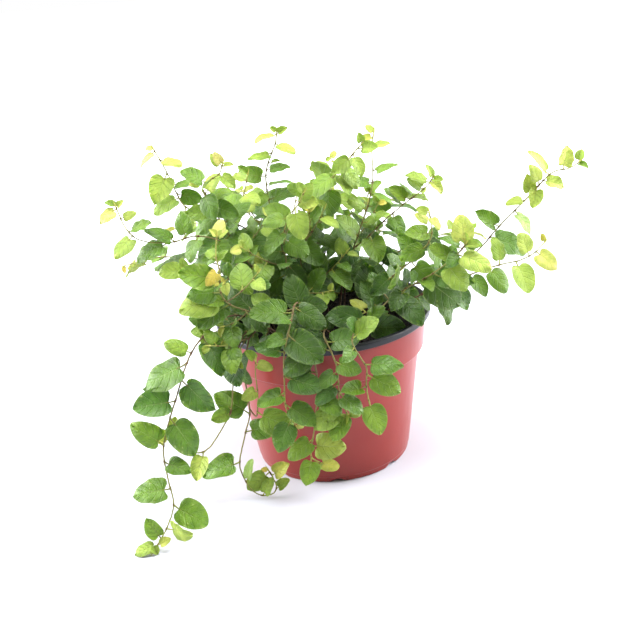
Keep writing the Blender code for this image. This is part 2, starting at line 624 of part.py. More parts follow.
@dataclass(frozen=True)
class Leaf:
    """Where a leaf stands and what size it has, in millimetres."""

    root: Vector
    base: Vector
    axis: Vector
    side: Vector
    normal: Vector
    length: float
    width: float
    fold: float
    droop: float
    age: float

    def surface(self, across, along):
        """A point of the folded and drooping blade."""
        lift = self.fold * abs(across) - self.droop * along * abs(along) / self.length
        return self.base + self.side * across + self.axis * along + self.normal * lift


def leaf_shape(leaf, grow=0.0):
    """Points and faces of a leaf with its stalk; grow makes it larger all round, for gap tests."""
    base, normal, length = leaf.base, leaf.normal, leaf.length
    half = BLADE_THICKNESS / 2 + grow
    phases = blade_phases(length)
    rim = []
    for hand in (1, -1):
        edge = []
        for phase in phases:
            across, along = outline_point(phase, length, leaf.width)
            edge.append(leaf.surface(hand * (across + grow), along))
        rim.append(edge)
    tip = leaf.surface(0, length + grow)
    collar = [leaf.surface(hand * (PETIOLE_WIDTH / 2 + grow), 0) for hand in (1, -1)]
    ring = [collar[0], *rim[0], tip, *reversed(rim[1]), collar[1]]
    count = len(ring)
    keel = base - normal * half
    points = [point + normal * half for point in ring] + [keel]
    points += [point - normal * half for point in ring[1:-1]]
    under = [count] + [count + index for index in range(1, count - 1)] + [count]
    faces = []
    for index in range(count - 1):
        faces.append((under[index], under[index + 1], index + 1))
        faces.append((under[index], index + 1, index))
    peak = count // 2
    if len(phases) > 2:
        spine = leaf.surface(0, 0.5 * length)
        top, low = len(points), len(points) + 1
        points += [spine + normal * half, spine - normal * half]
        faces += [(index, (index + 1) % count, top) for index in range(count)]
        faces += [(under[index + 1], under[index], low) for index in range(count - 1)]
    else:
        faces += [(0, index, index + 1) for index in range(1, peak)] + [(0, peak, count - 1)]
        faces += [(count - 1, index, index + 1) for index in range(peak, count - 2)]
        faces += [(count, under[index + 1], under[index]) for index in range(1, count - 2)]
    right, left, low = (len(points) + index for index in range(3))
    points += [leaf.root + (points[index] - base) * PETIOLE_TAPER for index in (0, count - 1, count)]
    faces += [(right, 0, count - 1, left), (low, count, 0, right), (low, left, count - 1, count),
              (low, right, left)]
    return points, faces


def blade_only(leaf, grow):
    """The same leaf with its stalk drawn in, for tests against its own stem."""
    return leaf_shape(replace(leaf, root=leaf.root.lerp(leaf.base, 0.85)), grow)


@dataclass(frozen=True)
class Wish:
    """A leaf as it is wanted: its place on the stem, the ways it points and faces, its span and age."""

    share: float
    axis: Vector
    facing: Vector
    span: float
    age: float


def stand_leaf(root, wish, draw, loosen):
    """A leaf on its stalk, with a seeded variation. Old leaves droop and new ones are folded."""
    blade = BLADE_SHARE * wish.span
    axis = wish.axis.normalized()
    normal = (wish.facing - axis * wish.facing.dot(axis)).normalized()
    axis = Matrix.Rotation(math.radians(draw.uniform(-1, 1) * 9 * loosen), 3, normal) @ axis
    normal = Matrix.Rotation(math.radians(draw.uniform(-1, 1) * (10 + 9 * loosen)), 3, axis) @ normal
    side = axis.cross(normal)
    stalk_length = wish.span - 0.93 * blade + 0.25 * loosen
    dip = draw.uniform(-0.1, 0.45)
    stalk = (axis - normal * dip + side * draw.uniform(-0.25, 0.25)).normalized()
    pitch = Matrix.Rotation(math.radians(draw.uniform(-1, 1) * 7 * loosen), 3, side)
    width = blade * BLADE_WIDTH * draw.uniform(0.93, 1.08)
    fold = (0.30 - 0.18 * wish.age) * draw.uniform(0.6, 1.2)
    droop = (0.02 + 0.16 * wish.age) * draw.uniform(0.4, 1.4)
    return Leaf(root, root + stalk * stalk_length, pitch @ axis, side, pitch @ normal, blade, width,
                fold, droop, wish.age)


def shown_axis(turn, draw):
    """The way a leaf points, for a leaf given by its turn as seen from the front."""
    angle = math.radians(turn)
    return RIGHT * math.cos(angle) + UPWARD * math.sin(angle) + TOWARDS * draw.uniform(0.0, 0.4)


def outward(point):
    """The level direction away from the pot's middle."""
    return Vector((point.x, point.y, 0)).normalized()


class Garden:
    """Keeps what has been placed, and finds room for each new leaf."""

    def __init__(self):
        self.fixed = []
        self.trees = []
        self.blades = []
        self.owners = []
        self.boxes = []

    def add_fixed(self, points, faces, owner):
        """Adds a pot, soil or stem."""
        self.fixed.append((tree_of(points, faces), owner))

    def fits(self, leaf, owner):
        """True where a leaf keeps clear of everything but its own stem."""
        points, faces = leaf_shape(leaf, LEAF_GAP)
        if min(point.z for point in points) < FLOOR_GAP:
            return False
        whole = tree_of(points, faces)
        blade = tree_of(*blade_only(leaf, LEAF_GAP))
        for tree, kind in self.fixed:
            if (blade if kind == owner else whole).overlap(tree):
                return False
        if not self.boxes:
            return True
        spots = np.array([point[:] for point in points])
        low, high = spots.min(axis=0), spots.max(axis=0)
        boxes = np.array(self.boxes)
        near = np.all((boxes[:, 0] < high) & (boxes[:, 1] > low), axis=1)
        for index in np.flatnonzero(near):
            same = self.owners[index] == owner
            if same and (blade.overlap(self.trees[index]) or whole.overlap(self.blades[index])):
                return False
            if not same and whole.overlap(self.trees[index]):
                return False
        return True

    def place(self, root, wish, seed, owner):
        """The first variation of a wanted leaf that fits, or None."""
        for trial in range(TRIES):
            draw = random.Random(seed * 100 + trial)
            smaller = replace(wish, span=wish.span * (1 - 0.012 * trial))
            leaf = stand_leaf(root, smaller, draw, min(0.4 + 0.4 * trial, LOOSEST))
            if self.fits(leaf, owner):
                points, faces = leaf_shape(leaf)
                self.trees.append(tree_of(points, faces))
                self.blades.append(tree_of(*blade_only(leaf, 0.0)))
                self.owners.append(owner)
                spots = np.array([point[:] for point in points])
                self.boxes.append((spots.min(axis=0), spots.max(axis=0)))
                return leaf
        return None


def ruled_leaves(route, first, last, seed, largest, oldest, forward):
    """Leaves that follow the plant's own rule: by turns on each side, along a bare stretch."""
    draw = random.Random(seed)
    count = max(1, int((last - first) * route.length / (LEAF_PITCH * largest)))
    leaves = []
    for index in range(count):
        share = first + (last - first) * (index + 0.5) / count
        point, ahead = route.at(share), route.along(share)
        sky = (SKY * 0.65 + outward(point) * (0.6 - 0.4 * forward) + TOWARDS * 0.5 * forward).normalized()
        hand = 1 if index % 2 else -1
        side = ahead.cross(sky).normalized() * hand
        axis = side * 0.8 + ahead * 0.4 - SKY * draw.uniform(0.0, 0.4) + outward(point) * 0.2
        taper = 1.0 if share < 0.75 else 1.0 - 1.6 * (share - 0.75)
        size = largest * (0.7 + 0.3 * math.sin(math.pi * min(1.0, 0.25 + 0.75 * share)))
        facing = sky + wander(draw, 0.3)
        span = size * taper * draw.uniform(0.88, 1.1)
        age = oldest - (oldest - 0.15) * share ** 3 - draw.uniform(0.0, 0.25)
        leaves.append(Wish(share, axis, facing, span, max(age, 0.0)))
    return leaves


def shown_leaves(plan, route, seed):
    """Leaves that are listed with a shoot."""
    leaves = []
    for index, (share, turn, span, age) in enumerate(plan):
        draw = random.Random(seed + index)
        facing = TOWARDS * 0.55 + SKY * 0.45 + outward(route.at(share)) * 0.35 + wander(draw, 0.32)
        leaves.append(Wish(share, shown_axis(turn, draw), facing, span, age))
    return leaves


def wander(draw, size):
    """A small seeded change of a direction."""
    return Vector([draw.uniform(-size, size) for _ in range(3)])


def twig_route(joint, turn, reach):
    """A short side branch that leaves a stem as seen from the front and then rises."""
    angle = math.radians(turn)
    heading = RIGHT * math.cos(angle) + UPWARD * math.sin(angle) + TOWARDS * 0.45
    return [joint + (heading * share + SKY * 0.35 * share ** 2) * reach for share in (0.0, 0.35, 0.7, 1.0)]


class Shoot:
    """One leafy stem with its branches, joined in one solid."""

    def __init__(self, name, number, lines, plan):
        self.name = name
        self.number = number
        trunk = Route(lines[0])
        self.stems = [(trunk, STEM_RADIUS)]
        self.joints = [branch["at"] for branch in plan["branches"]]
        seed = SEED + 1000 * number
        listed = shown_leaves(plan.get("leaves", []), trunk, seed)
        self.leaves = [(0, leaf) for leaf in listed]
        last = min([leaf.share for leaf in listed], default=1.0)
        first = BARE_STEM / trunk.length
        forward = 1 if listed else 0
        if last - first > 0.06:
            ruled = ruled_leaves(trunk, first, last, seed, LARGEST_LEAF, 1.0, forward)
            self.leaves += [(0, leaf) for leaf in ruled]
        for index, (branch, line) in enumerate(zip(plan["branches"], lines[1:]), 1):
            route = Route([trunk.at(branch["at"])] + line[1:])
            self.stems.append((route, BRANCH_RADIUS))
            if "leaves" in branch:
                leaves = shown_leaves(branch["leaves"], route, seed + 100 * index)
            else:
                leaves = ruled_leaves(route, BARE_BRANCH / route.length, 1.0, seed + 100 * index,
                                      TWIG_LEAF, 0.7, 1)
            self.leaves += [(index, leaf) for leaf in leaves]

    def rings(self, index):
        """Where the rings of one stem stand."""
        wanted = [leaf.share for stem, leaf in self.leaves if stem == index]
        if index == 0:
            wanted += self.joints
        return ring_shares(self.stems[index][0], wanted)

    def stem_shape(self, index):
        """Points and faces of one stem."""
        route, radius = self.stems[index]
        shares = self.rings(index)
        centres = [route.at(share) for share in shares]
        radii = [radius + (STEM_TIP_RADIUS - radius) * share for share in shares]
        if index == 0:
            centres.insert(0, centres[0] - SKY * (HOLE_DEPTH - 1.0))
            radii.insert(0, radius)
        return tube(centres, radii, STEM_SIDES)

    def grow(self, garden):
        """Finds a place for each leaf and keeps those that have room."""
        self.grown = []
        for index, (stem, wish) in enumerate(self.leaves):
            route = self.stems[stem][0]
            share = min(wish.share, 1.0 - TIP_STUB / route.length)
            leaf = garden.place(route.at(share), wish, SEED + 1000 * self.number + index, self.name)
            if leaf:
                self.grown.append(replace(leaf, root=chord_point(route, self.rings(stem), share)))

    def build(self, material):
        """Fuses the stems and leaves in one solid."""
        origin = self.stems[0][0].at(0.0)
        points, faces = self.stem_shape(0)
        trunk = add_object(self.name, mesh_from(self.name, points, faces, origin), material, origin)
        parts = [self.stem_shape(index) for index in range(1, len(self.stems))]
        parts += [leaf_shape(leaf) for leaf in self.grown]
        collection = bpy.data.collections.new(self.name + " parts")
        bpy.context.scene.collection.children.link(collection)
        for points, faces in parts:
            piece = bpy.data.objects.new("part", mesh_from("part", points, faces, origin))
            piece.location = trunk.location
            collection.objects.link(piece)
        apply_boolean(trunk, collection, "UNION")
        return trunk


def plan_shoots():
    """All shoots, with their stems and branches settled clear of each other."""
    plans = {name: dict(plan) for name, plan in SHOOTS.items()}
    for name, shape in ARCHING.items():
        plans[name] = {"route": arching_points(*shape)}
    lines, owners = [], []
    for number, plan in enumerate(plans.values()):
        points = [Vector(point) for point in plan["route"]]
        trunk = Route([nearer_point(point, plan.get("nearer", 0) * (index / len(points)) ** 2)
                       for index, point in enumerate(points)])
        twigs = [{"at": at, "route": twig_route(trunk.at(at), turn, reach)[1:]}
                 for at, turn, reach in plan.get("twigs", [])]
        plan["branches"] = plan.get("branches", []) + twigs
        routes = [trunk] + [Route([trunk.at(branch["at"])] + [Vector(point) for point in branch["route"]])
                            for branch in plan["branches"]]
        lines += [resample(route) for route in routes]
        owners += [number] * len(routes)
    settled = settle_stems(lines, owners)
    shoots = []
    for number, (name, plan) in enumerate(plans.items()):
        own = [line for line, owner in zip(settled, owners) if owner == number]
        shoots.append(Shoot(name, number, own, plan))
    return shoots


def nearer_point(point, distance):
    """The point moved towards the viewpoint."""
    return point + (VIEWPOINT - point).normalized() * distance


def world_shape(thing):
    """Points in millimetres and faces of an object."""
    points = [(thing.matrix_world @ vert.co) / MM for vert in thing.data.vertices]
    faces = [tuple(face.vertices) for face in thing.data.polygons]
    return points, faces


def main():
    """Builds the pot, the soil and every leafy stem."""
    clear_scene()
    pot = make_pot(make_material("terracotta red polypropylene", TERRACOTTA, 0.42))
    shoots = plan_shoots()
    roots = [shoot.stems[0][0].at(0.0)[:2] for shoot in shoots]
    soil = make_soil(make_material("potting soil", PEAT, 0.95), roots)
    garden = Garden()
    bpy.context.view_layer.update()
    garden.add_fixed(*world_shape(pot), "pot")
    garden.add_fixed(*world_shape(soil), "soil")
    for shoot in shoots:
        for index in range(len(shoot.stems)):
            garden.add_fixed(*shoot.stem_shape(index), shoot.name)
    green = make_material("creeping fig foliage", LEAF_GREEN, 0.45)
    for shoot in shoots:
        shoot.grow(garden)
        shoot.build(green)


main()
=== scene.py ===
"""Creeping fig in its nursery pot: the looks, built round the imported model.

Blender's side is in metres, +Z up, with -Y as the front. The plant's own numbers are in
millimetres and are turned to metres when a mesh is made.
"""

import itertools
import logging
import math
import random
from collections.abc import Callable
from dataclasses import dataclass, field, replace
from enum import Enum, IntEnum
from functools import partial

import bpy
import numpy as np
from bpy.types import ID, Material, Node, NodeSocket, NodeTree, Object
from mathutils import Matrix, Vector, noise
from mathutils.kdtree import KDTree

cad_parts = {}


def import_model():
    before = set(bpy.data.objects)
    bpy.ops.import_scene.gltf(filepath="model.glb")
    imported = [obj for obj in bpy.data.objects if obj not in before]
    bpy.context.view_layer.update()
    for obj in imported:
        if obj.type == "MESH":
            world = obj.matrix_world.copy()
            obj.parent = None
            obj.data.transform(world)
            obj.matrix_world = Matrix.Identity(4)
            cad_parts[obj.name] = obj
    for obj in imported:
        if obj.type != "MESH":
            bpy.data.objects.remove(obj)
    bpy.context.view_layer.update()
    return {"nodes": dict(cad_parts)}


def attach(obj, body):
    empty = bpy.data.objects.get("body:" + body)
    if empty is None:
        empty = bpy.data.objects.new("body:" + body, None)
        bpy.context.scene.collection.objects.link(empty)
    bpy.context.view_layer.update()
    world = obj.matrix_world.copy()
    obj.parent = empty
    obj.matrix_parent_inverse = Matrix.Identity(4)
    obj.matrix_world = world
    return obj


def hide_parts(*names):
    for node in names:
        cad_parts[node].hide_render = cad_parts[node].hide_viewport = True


LOG = logging.getLogger("creeping_fig")
MM = 0.001
SEED = 1429

# The picture's side of the plant: a little above its front
FACE_HEIGHT = math.radians(21.5)
VIEWPOINT = Vector((-2.7, -549.8, 308.2))
RIGHT = Vector((1.0, 0.0, 0.0))
UPWARD = Vector((0.0, math.sin(FACE_HEIGHT), math.cos(FACE_HEIGHT)))
TOWARDS = Vector((0.0, -math.cos(FACE_HEIGHT), math.sin(FACE_HEIGHT)))
SKY = Vector((0.0, 0.0, 1.0))

Point = tuple[float, float, float]
Face = tuple[int, ...]
# The least and the most, or two numbers that belong together
Span = tuple[float, float]
# Place along the stem, turn in degrees anticlockwise from the right as seen from the front,
# span from the stem to the leaf's tip, age from 0 for new to 1 for old
ShownLeaf = tuple[float, float, float, float]
# Place along the stem, turn, reach
Twig = tuple[float, float, float]


@dataclass(frozen=True)
class Branch:
    """A side branch that is drawn point by point, from its place along the stem."""

    at: float
    route: list[Point]
    leaves: list[ShownLeaf] = field(default_factory=list)


@dataclass(frozen=True)
class Plan:
    """What one shoot grows from: the points of its stem from the soil up, and what it bears."""

    route: list[Point]
    leaves: list[ShownLeaf] = field(default_factory=list)
    twigs: list[Twig] = field(default_factory=list)
    branches: list[Branch] = field(default_factory=list)
    nearer: float = 0.0


SHOOTS: dict[str, Plan] = {
    "shoot_trailing_long": Plan(
        [(-32, -18, 88), (-46, -32, 110), (-59, -45, 117), (-70, -62, 114), (-78, -72, 107), (-83, -80, 98),
         (-88, -85, 86), (-92, -88, 77), (-97, -92, 64), (-99, -93, 54), (-98, -96, 38), (-97, -98, 23),
         (-103, -104, 10), (-110, -111, 1.8)],
        [(0.27, 285, 22, 0.85), (0.29, 155, 14, 0.7), (0.35, 292, 25, 1.0), (0.41, 150, 15, 0.45),
         (0.44, 200, 27, 0.9), (0.49, 309, 23, 0.95), (0.55, 182, 22, 0.8), (0.6, 304, 23, 0.85),
         (0.68, 142, 20, 0.6), (0.73, 340, 15, 0.75), (0.81, 180, 20, 0.7), (0.86, 326, 21, 0.55),
         (0.93, 29, 19, 0.3), (0.96, 115, 14, 0.5), (0.98, 30, 8, 0.1), (0.985, 190, 12, 0.3)],
        twigs=[(0.19, 225, 26), (0.235, 265, 22)]),
    "shoot_trailing_hook": Plan(
        [(-24, -28, 88), (-38, -42, 107), (-49, -53, 107), (-56, -62, 88), (-60, -66, 66), (-67, -70, 55),
         (-74, -74, 47), (-80, -76, 44), (-87, -78, 47), (-93, -79, 51), (-98, -80, 57)],
        [(0.42, 315, 19, 0.8), (0.62, 129, 12, 0.6), (0.635, 195, 11, 0.4), (0.83, 252, 16, 0.3),
         (0.93, 90, 18, 0.2), (0.99, 135, 9, 0.1)],
        twigs=[(0.27, 255, 26)]),
    "shoot_trailing_floor": Plan(
        [(-20, -34, 88), (-34, -46, 108), (-45, -56, 107), (-50, -61, 94), (-50, -61, 76), (-50, -60, 59),
         (-55, -60, 43), (-60, -60, 25), (-58, -61, 14), (-54, -62, 6), (-48, -62, 1.8), (-42, -61, 1.8),
         (-39, -60, 4.5), (-40, -58, 10), (-43, -56, 16)],
        [(0.24, 185, 20, 0.8), (0.3, 225, 16, 0.85), (0.37, 250, 17, 0.8), (0.52, 141, 22, 0.65),
         (0.59, 358, 20, 0.7), (0.71, 191, 23, 0.7), (0.79, 75, 14, 0.4), (0.87, 62, 12, 0.3),
         (0.93, 35, 9, 0.3), (0.98, 35, 13, 0.15), (1.0, 235, 18, 0.3)],
        branches=[Branch(0.5, route=[(-46, -65, 59), (-44, -68, 67), (-43, -68, 77), (-43, -68, 88),
         (-42, -68, 97)], leaves=[(0.26, 335, 22, 0.4), (0.6, 210, 10, 0.1), (1.0, 340, 10, 0.1)])],
        twigs=[(0.24, 205, 24)]),
    "shoot_hanging_left": Plan(
        [(-8, -24, 88), (-12, -42, 116), (-16, -54, 125), (-19, -64, 119), (-22, -71, 111), (-25, -75, 101),
         (-26, -77, 87), (-27, -77, 74), (-26, -77, 66), (-22, -77, 57)],
        [(0.41, 325, 20, 0.85), (0.44, 170, 22, 0.7), (0.48, 220, 14, 0.8), (0.55, 315, 23, 0.95),
         (0.63, 165, 16, 0.7), (0.74, 340, 21, 0.8), (0.82, 195, 16, 0.6), (0.88, 330, 20, 0.7),
         (0.96, 240, 19, 0.8)],
        twigs=[(0.3, 200, 24)]),
    "shoot_hanging_centre": Plan(
        [(-9, -37, 88), (-14, -54, 108), (-12, -67, 107), (-8, -75, 97), (-7, -78, 82), (-9, -78, 69),
         (-12, -77, 51), (-15, -74, 34), (-9, -72, 27)],
        [(0.38, 215, 18, 0.9), (0.48, 205, 16, 0.8), (0.59, 320, 16, 0.6), (0.71, 150, 13, 0.6),
         (0.82, 215, 17, 0.5), (0.86, 355, 19, 0.25), (0.93, 255, 16, 0.55), (0.99, 345, 11, 0.1)]),
    "shoot_hanging_middle": Plan(
        [(6, -30, 88), (1, -50, 105), (-1, -64, 107), (3, -73, 99), (5, -77, 91), (5, -78, 80), (5, -78, 72),
         (9, -78, 62)],
        [(0.56, 165, 18, 0.9), (0.63, 335, 15, 0.5), (0.69, 205, 14, 0.8), (0.77, 225, 17, 0.85),
         (0.83, 305, 18, 0.7), (0.87, 235, 15, 0.4), (0.92, 245, 21, 0.35), (0.99, 235, 17, 0.5)]),
    "shoot_hanging_right": Plan(
        [(22, -30, 88), (25, -48, 109), (24, -60, 113), (17, -68, 110), (15, -74, 105), (19, -77, 97),
         (22, -78, 90), (21, -78, 80), (22, -77, 69), (24, -76, 60)],
        [(0.4, 150, 16, 0.9), (0.53, 35, 17, 0.35), (0.69, 0, 20, 0.6), (0.75, 325, 20, 0.55),
         (0.82, 205, 17, 0.6), (0.91, 290, 19, 0.5)]),
    "shoot_left_front": Plan(
        [(-27, -21, 88), (-40, -40, 114), (-54, -54, 128), (-58, -60, 138), (-57, -60, 150), (-58, -60, 160),
         (-56, -60, 172)],
        [(0.45, 290, 19, 0.9), (0.57, 220, 21, 0.8), (0.62, 180, 24, 0.4), (0.68, 200, 20, 0.7),
         (0.74, 160, 22, 0.6), (0.81, 210, 13, 0.1), (0.87, 85, 15, 0.4), (0.98, 65, 12, 0.1)],
        twigs=[(0.42, 225, 20), (0.6, 20, 22)], nearer=-14),
    "shoot_left_level": Plan(
        [(-35, 2, 88), (-44, 6, 116), (-54, 0, 128), (-64, -12, 131), (-74, -20, 137), (-82, -25, 143)],
        [(0.64, 250, 19, 0.8), (0.73, 300, 18, 0.7), (0.83, 166, 15, 0.6), (0.9, 60, 13, 0.6),
         (0.99, 181, 15, 0.3)],
        twigs=[(0.5, 270, 24)], nearer=18),
    "shoot_left_long": Plan(
        [(-23, -9, 88), (-34, -14, 125), (-53, -20, 153), (-71, -25, 163), (-87, -30, 162), (-103, -35, 166),
         (-111, -35, 174), (-115, -35, 188)],
        [(0.48, 210, 18, 0.8), (0.54, 290, 16, 0.7), (0.61, 240, 15, 0.6), (0.66, 99, 15, 0.75),
         (0.7, 153, 18, 0.85), (0.73, 200, 19, 0.7), (0.87, 225, 16, 0.35), (0.89, 20, 14, 0.5),
         (0.95, 20, 9, 0.2), (0.99, 212, 12, 0.08)],
        twigs=[(0.42, 250, 28)], nearer=-16),
    "shoot_left_high": Plan(
        [(-18, 6, 88), (-28, 10, 122), (-42, 10, 153), (-63, 5, 165), (-79, 0, 175), (-84, 0, 185),
         (-88, 0, 198), (-94, 0, 213)],
        [(0.5, 235, 17, 0.7), (0.57, 300, 16, 0.8), (0.64, 250, 20, 0.6), (0.7, 331, 17, 0.7),
         (0.735, 268, 15, 0.35), (0.78, 205, 17, 0.4), (0.8, 331, 16, 0.8), (0.84, 10, 13, 0.7),
         (0.89, 247, 20, 0.35), (0.95, 346, 14, 0.2), (0.99, 218, 12, 0.1)],
        twigs=[(0.52, 60, 24)], nearer=-24),
    "shoot_left_upright": Plan(
        [(-31, -8, 88), (-41, -4, 120), (-52, -5, 151), (-62, -5, 174), (-67, -5, 187), (-62, -5, 192),
         (-56, -5, 195), (-53, -5, 201)],
        [(0.5, 250, 17, 0.9), (0.56, 205, 22, 0.8), (0.62, 40, 20, 0.75), (0.68, 220, 15, 0.8),
         (0.73, 335, 16, 0.8), (0.77, 15, 15, 0.5), (0.81, 280, 18, 0.9), (0.86, 150, 15, 0.6),
         (0.9, 215, 11, 0.5), (0.94, 320, 12, 0.45), (0.99, 130, 9, 0.3)],
        twigs=[(0.46, 30, 24), (0.6, 120, 22)], nearer=14),
    "shoot_centre_left": Plan(
        [(-16, -14, 88), (-19, -18, 120), (-20, -20, 151), (-17, -20, 167), (-10, -20, 175), (-5, -20, 183)],
        [(0.5, 300, 17, 0.9), (0.58, 190, 17, 0.8), (0.66, 320, 16, 0.8), (0.71, 225, 17, 0.8),
         (0.79, 192, 14, 0.5), (0.87, 278, 17, 0.4), (0.92, 60, 13, 0.35), (0.99, 150, 10, 0.5)],
        twigs=[(0.34, 330, 28), (0.48, 170, 26), (0.66, 60, 22)], nearer=18),
    "shoot_centre": Plan(
        [(-6, -4, 88), (-10, -2, 115), (-11, 0, 141), (-5, 0, 151), (-3, 0, 166)],
        [(0.5, 300, 18, 0.8), (0.6, 200, 18, 0.9), (0.7, 315, 17, 0.8), (0.8, 155, 14, 0.7),
         (0.9, 20, 13, 0.6), (0.99, 110, 11, 0.5)],
        twigs=[(0.34, 20, 30), (0.5, 190, 26), (0.68, 40, 22)], nearer=12),
    "shoot_top": Plan(
        [(-14, 22, 88), (-20, 20, 118), (-24, 20, 143), (-28, 22, 166), (-29, 22, 184), (-26, 22, 195),
         (-21, 22, 205), (-19, 22, 213)],
        [(0.5, 340, 17, 0.8), (0.58, 210, 15, 0.85), (0.65, 15, 19, 0.7), (0.7, 276, 13, 0.6),
         (0.73, 8, 18, 0.6), (0.77, 165, 17, 0.6), (0.8, 12, 14, 0.6), (0.84, 310, 9, 0.4),
         (0.89, 186, 15, 0.4), (0.94, 334, 14, 0.2), (1.0, 190, 14, 0.12)],
        twigs=[(0.45, 150, 24)], nearer=-18),
    "shoot_centre_tall": Plan(
        [(-4, 8, 88), (-3, 10, 117), (0, 10, 137), (3, 10, 158), (9, 10, 169), (13, 10, 182), (18, 10, 188),
         (27, 10, 197), (33, 10, 203)],
        [(0.47, 330, 16, 0.7), (0.55, 235, 14, 0.6), (0.64, 325, 12, 0.7), (0.7, 238, 18, 0.6),
         (0.74, 264, 20, 0.7), (0.8, 203, 23, 0.55), (0.82, 290, 16, 0.35), (0.86, 286, 20, 0.4),
         (0.92, 218, 15, 0.35), (0.935, 290, 14, 0.35), (0.97, 40, 14, 0.4)],
        branches=[Branch(0.58, route=[(4, 13, 169), (4, 14, 179)], leaves=[(0.8, 250, 16, 0.4),
         (0.97, 50, 11, 0.4)])],
        nearer=12),
    "shoot_right_tall": Plan(
        [(14, 16, 88), (17, 18, 112), (22, 20, 133), (33, 22, 154), (39, 22, 174), (40, 22, 190),
         (40, 22, 198), (42, 22, 207)],
        [(0.45, 200, 16, 0.8), (0.53, 295, 15, 0.7), (0.61, 354, 14, 0.7), (0.68, 336, 14, 0.7),
         (0.74, 178, 15, 0.7), (0.8, 18, 15, 0.6), (0.93, 7, 11, 0.3), (0.98, 190, 8, 0.1)],
        twigs=[(0.4, 40, 24)], nearer=-20),
    "shoot_centre_back": Plan(
        [(2, 26, 88), (3, 28, 115), (8, 30, 138), (20, 30, 151), (28, 30, 155), (33, 30, 159),
         (37, 30, 167)],
        [(0.56, 210, 16, 0.8), (0.67, 285, 16, 0.7), (0.74, 182, 15, 0.85), (0.79, 46, 10, 0.6),
         (0.84, 127, 16, 0.3), (0.91, 18, 15, 0.6), (0.99, 40, 11, 0.4)],
        nearer=-12),
    "shoot_right_slant": Plan(
        [(10, 2, 88), (14, 2, 115), (21, 0, 136), (33, 0, 146), (43, 0, 155), (55, 0, 164), (70, 0, 174),
         (75, 0, 180)],
        [(0.46, 230, 16, 0.9), (0.55, 285, 17, 0.4), (0.61, 145, 11, 0.5), (0.66, 335, 14, 0.7),
         (0.72, 290, 14, 0.7), (0.79, 127, 14, 0.6), (0.84, 172, 15, 0.5), (0.86, 130, 11, 0.6),
         (0.92, 140, 11, 0.5), (0.97, 152, 14, 0.3), (0.99, 300, 10, 0.12)],
        twigs=[(0.42, 60, 24)], nearer=14),
    "shoot_right_upright": Plan(
        [(24, -6, 88), (34, -18, 112), (46, -28, 129), (58, -34, 140), (65, -38, 149), (68, -38, 156),
         (67, -38, 168)],
        [(0.48, 220, 16, 0.8), (0.59, 245, 19, 0.35), (0.64, 290, 19, 0.6), (0.69, 120, 16, 0.7),
         (0.79, 198, 16, 0.6), (0.82, 290, 17, 0.7), (0.88, 178, 15, 0.5), (0.95, 150, 10, 0.15),
         (0.98, 300, 9, 0.2)],
        twigs=[(0.34, 300, 26)], nearer=10),
    "shoot_right_front": Plan(
        [(26, -20, 88), (37, -30, 109), (48, -38, 121), (62, -46, 131), (72, -51, 139), (82, -51, 147),
         (86, -51, 152)],
        [(0.5, 250, 17, 0.9), (0.65, 320, 24, 0.9), (0.72, 340, 24, 0.75), (0.83, 301, 18, 0.45),
         (0.88, 145, 14, 0.5), (0.91, 328, 20, 0.35), (0.94, 215, 13, 0.8), (0.96, 143, 14, 0.7),
         (0.965, 40, 11, 0.6), (0.99, 95, 16, 0.12)],
        twigs=[(0.36, 220, 26)]),
    "shoot_right_level": Plan(
        [(34, -14, 88), (43, -24, 106), (55, -31, 113), (73, -35, 121), (90, -36, 127), (108, -37, 132),
         (120, -38, 134), (129, -38, 138), (135, -38, 144)],
        [(0.5, 320, 16, 0.8), (0.6, 310, 15, 0.7), (0.69, 309, 17, 0.5), (0.75, 93, 16, 0.4),
         (0.83, 286, 19, 0.35), (0.9, 112, 14, 0.2), (0.94, 314, 15, 0.1)],
        nearer=-14),
    "shoot_right_long": Plan(
        [(31, 2, 88), (40, -3, 106), (52, -9, 113), (70, -10, 117), (89, -10, 125), (102, -10, 135),
         (114, -10, 148), (130, -10, 163), (144, -10, 177), (150, -10, 180), (158, -10, 181),
         (163, -10, 184)],
        [(0.4, 70, 15, 0.8), (0.49, 65, 17, 0.6), (0.59, 339, 22, 0.75), (0.64, 140, 16, 0.75),
         (0.72, 307, 16, 0.75), (0.77, 180, 11, 0.6), (0.79, 90, 12, 0.5), (0.83, 252, 13, 0.4),
         (0.84, 105, 12, 0.4), (0.86, 345, 12, 0.5), (0.89, 125, 18, 0.35), (0.94, 72, 13, 0.2)],
        nearer=18),
    "shoot_back_hanging_right": Plan(
        [(12, 36, 88), (18, 54, 110), (22, 70, 109), (25, 80, 97), (22, 82, 80), (26, 82, 62), (20, 83, 44)]),
    "shoot_back_hanging_left": Plan(
        [(-26, 30, 88), (-40, 46, 112), (-48, 58, 110), (-52, 68, 96), (-54, 70, 78), (-48, 74, 60)])}

# Shoots that arch away from the middle: where they leave the soil, the bearing in degrees from
# +X, how far they reach, how high they rise, where along them the top is, and the sway aside
ARCHING: dict[str, tuple[tuple[float, float], float, float, float, float, float]] = {
    "shoot_back_right_low": ((30, 20), 28, 92, 42, 0.75, 6),
    "shoot_back_right": ((22, 28), 52, 96, 60, 0.80, -6),
    "shoot_back_middle": ((-2, 38), 84, 98, 66, 0.78, 7),
    "shoot_back_left": ((-16, 34), 112, 100, 70, 0.80, -7),
    "shoot_back_left_low": ((-30, 20), 140, 98, 58, 0.75, 6),
    "shoot_side_left": ((-38, 10), 165, 96, 50, 0.72, -5),
    "shoot_back_tall": ((4, 18), 78, 52, 96, 1.0, 5),
    "shoot_left_tall": ((-24, 12), 128, 66, 92, 1.0, -5)}


# The grown plant


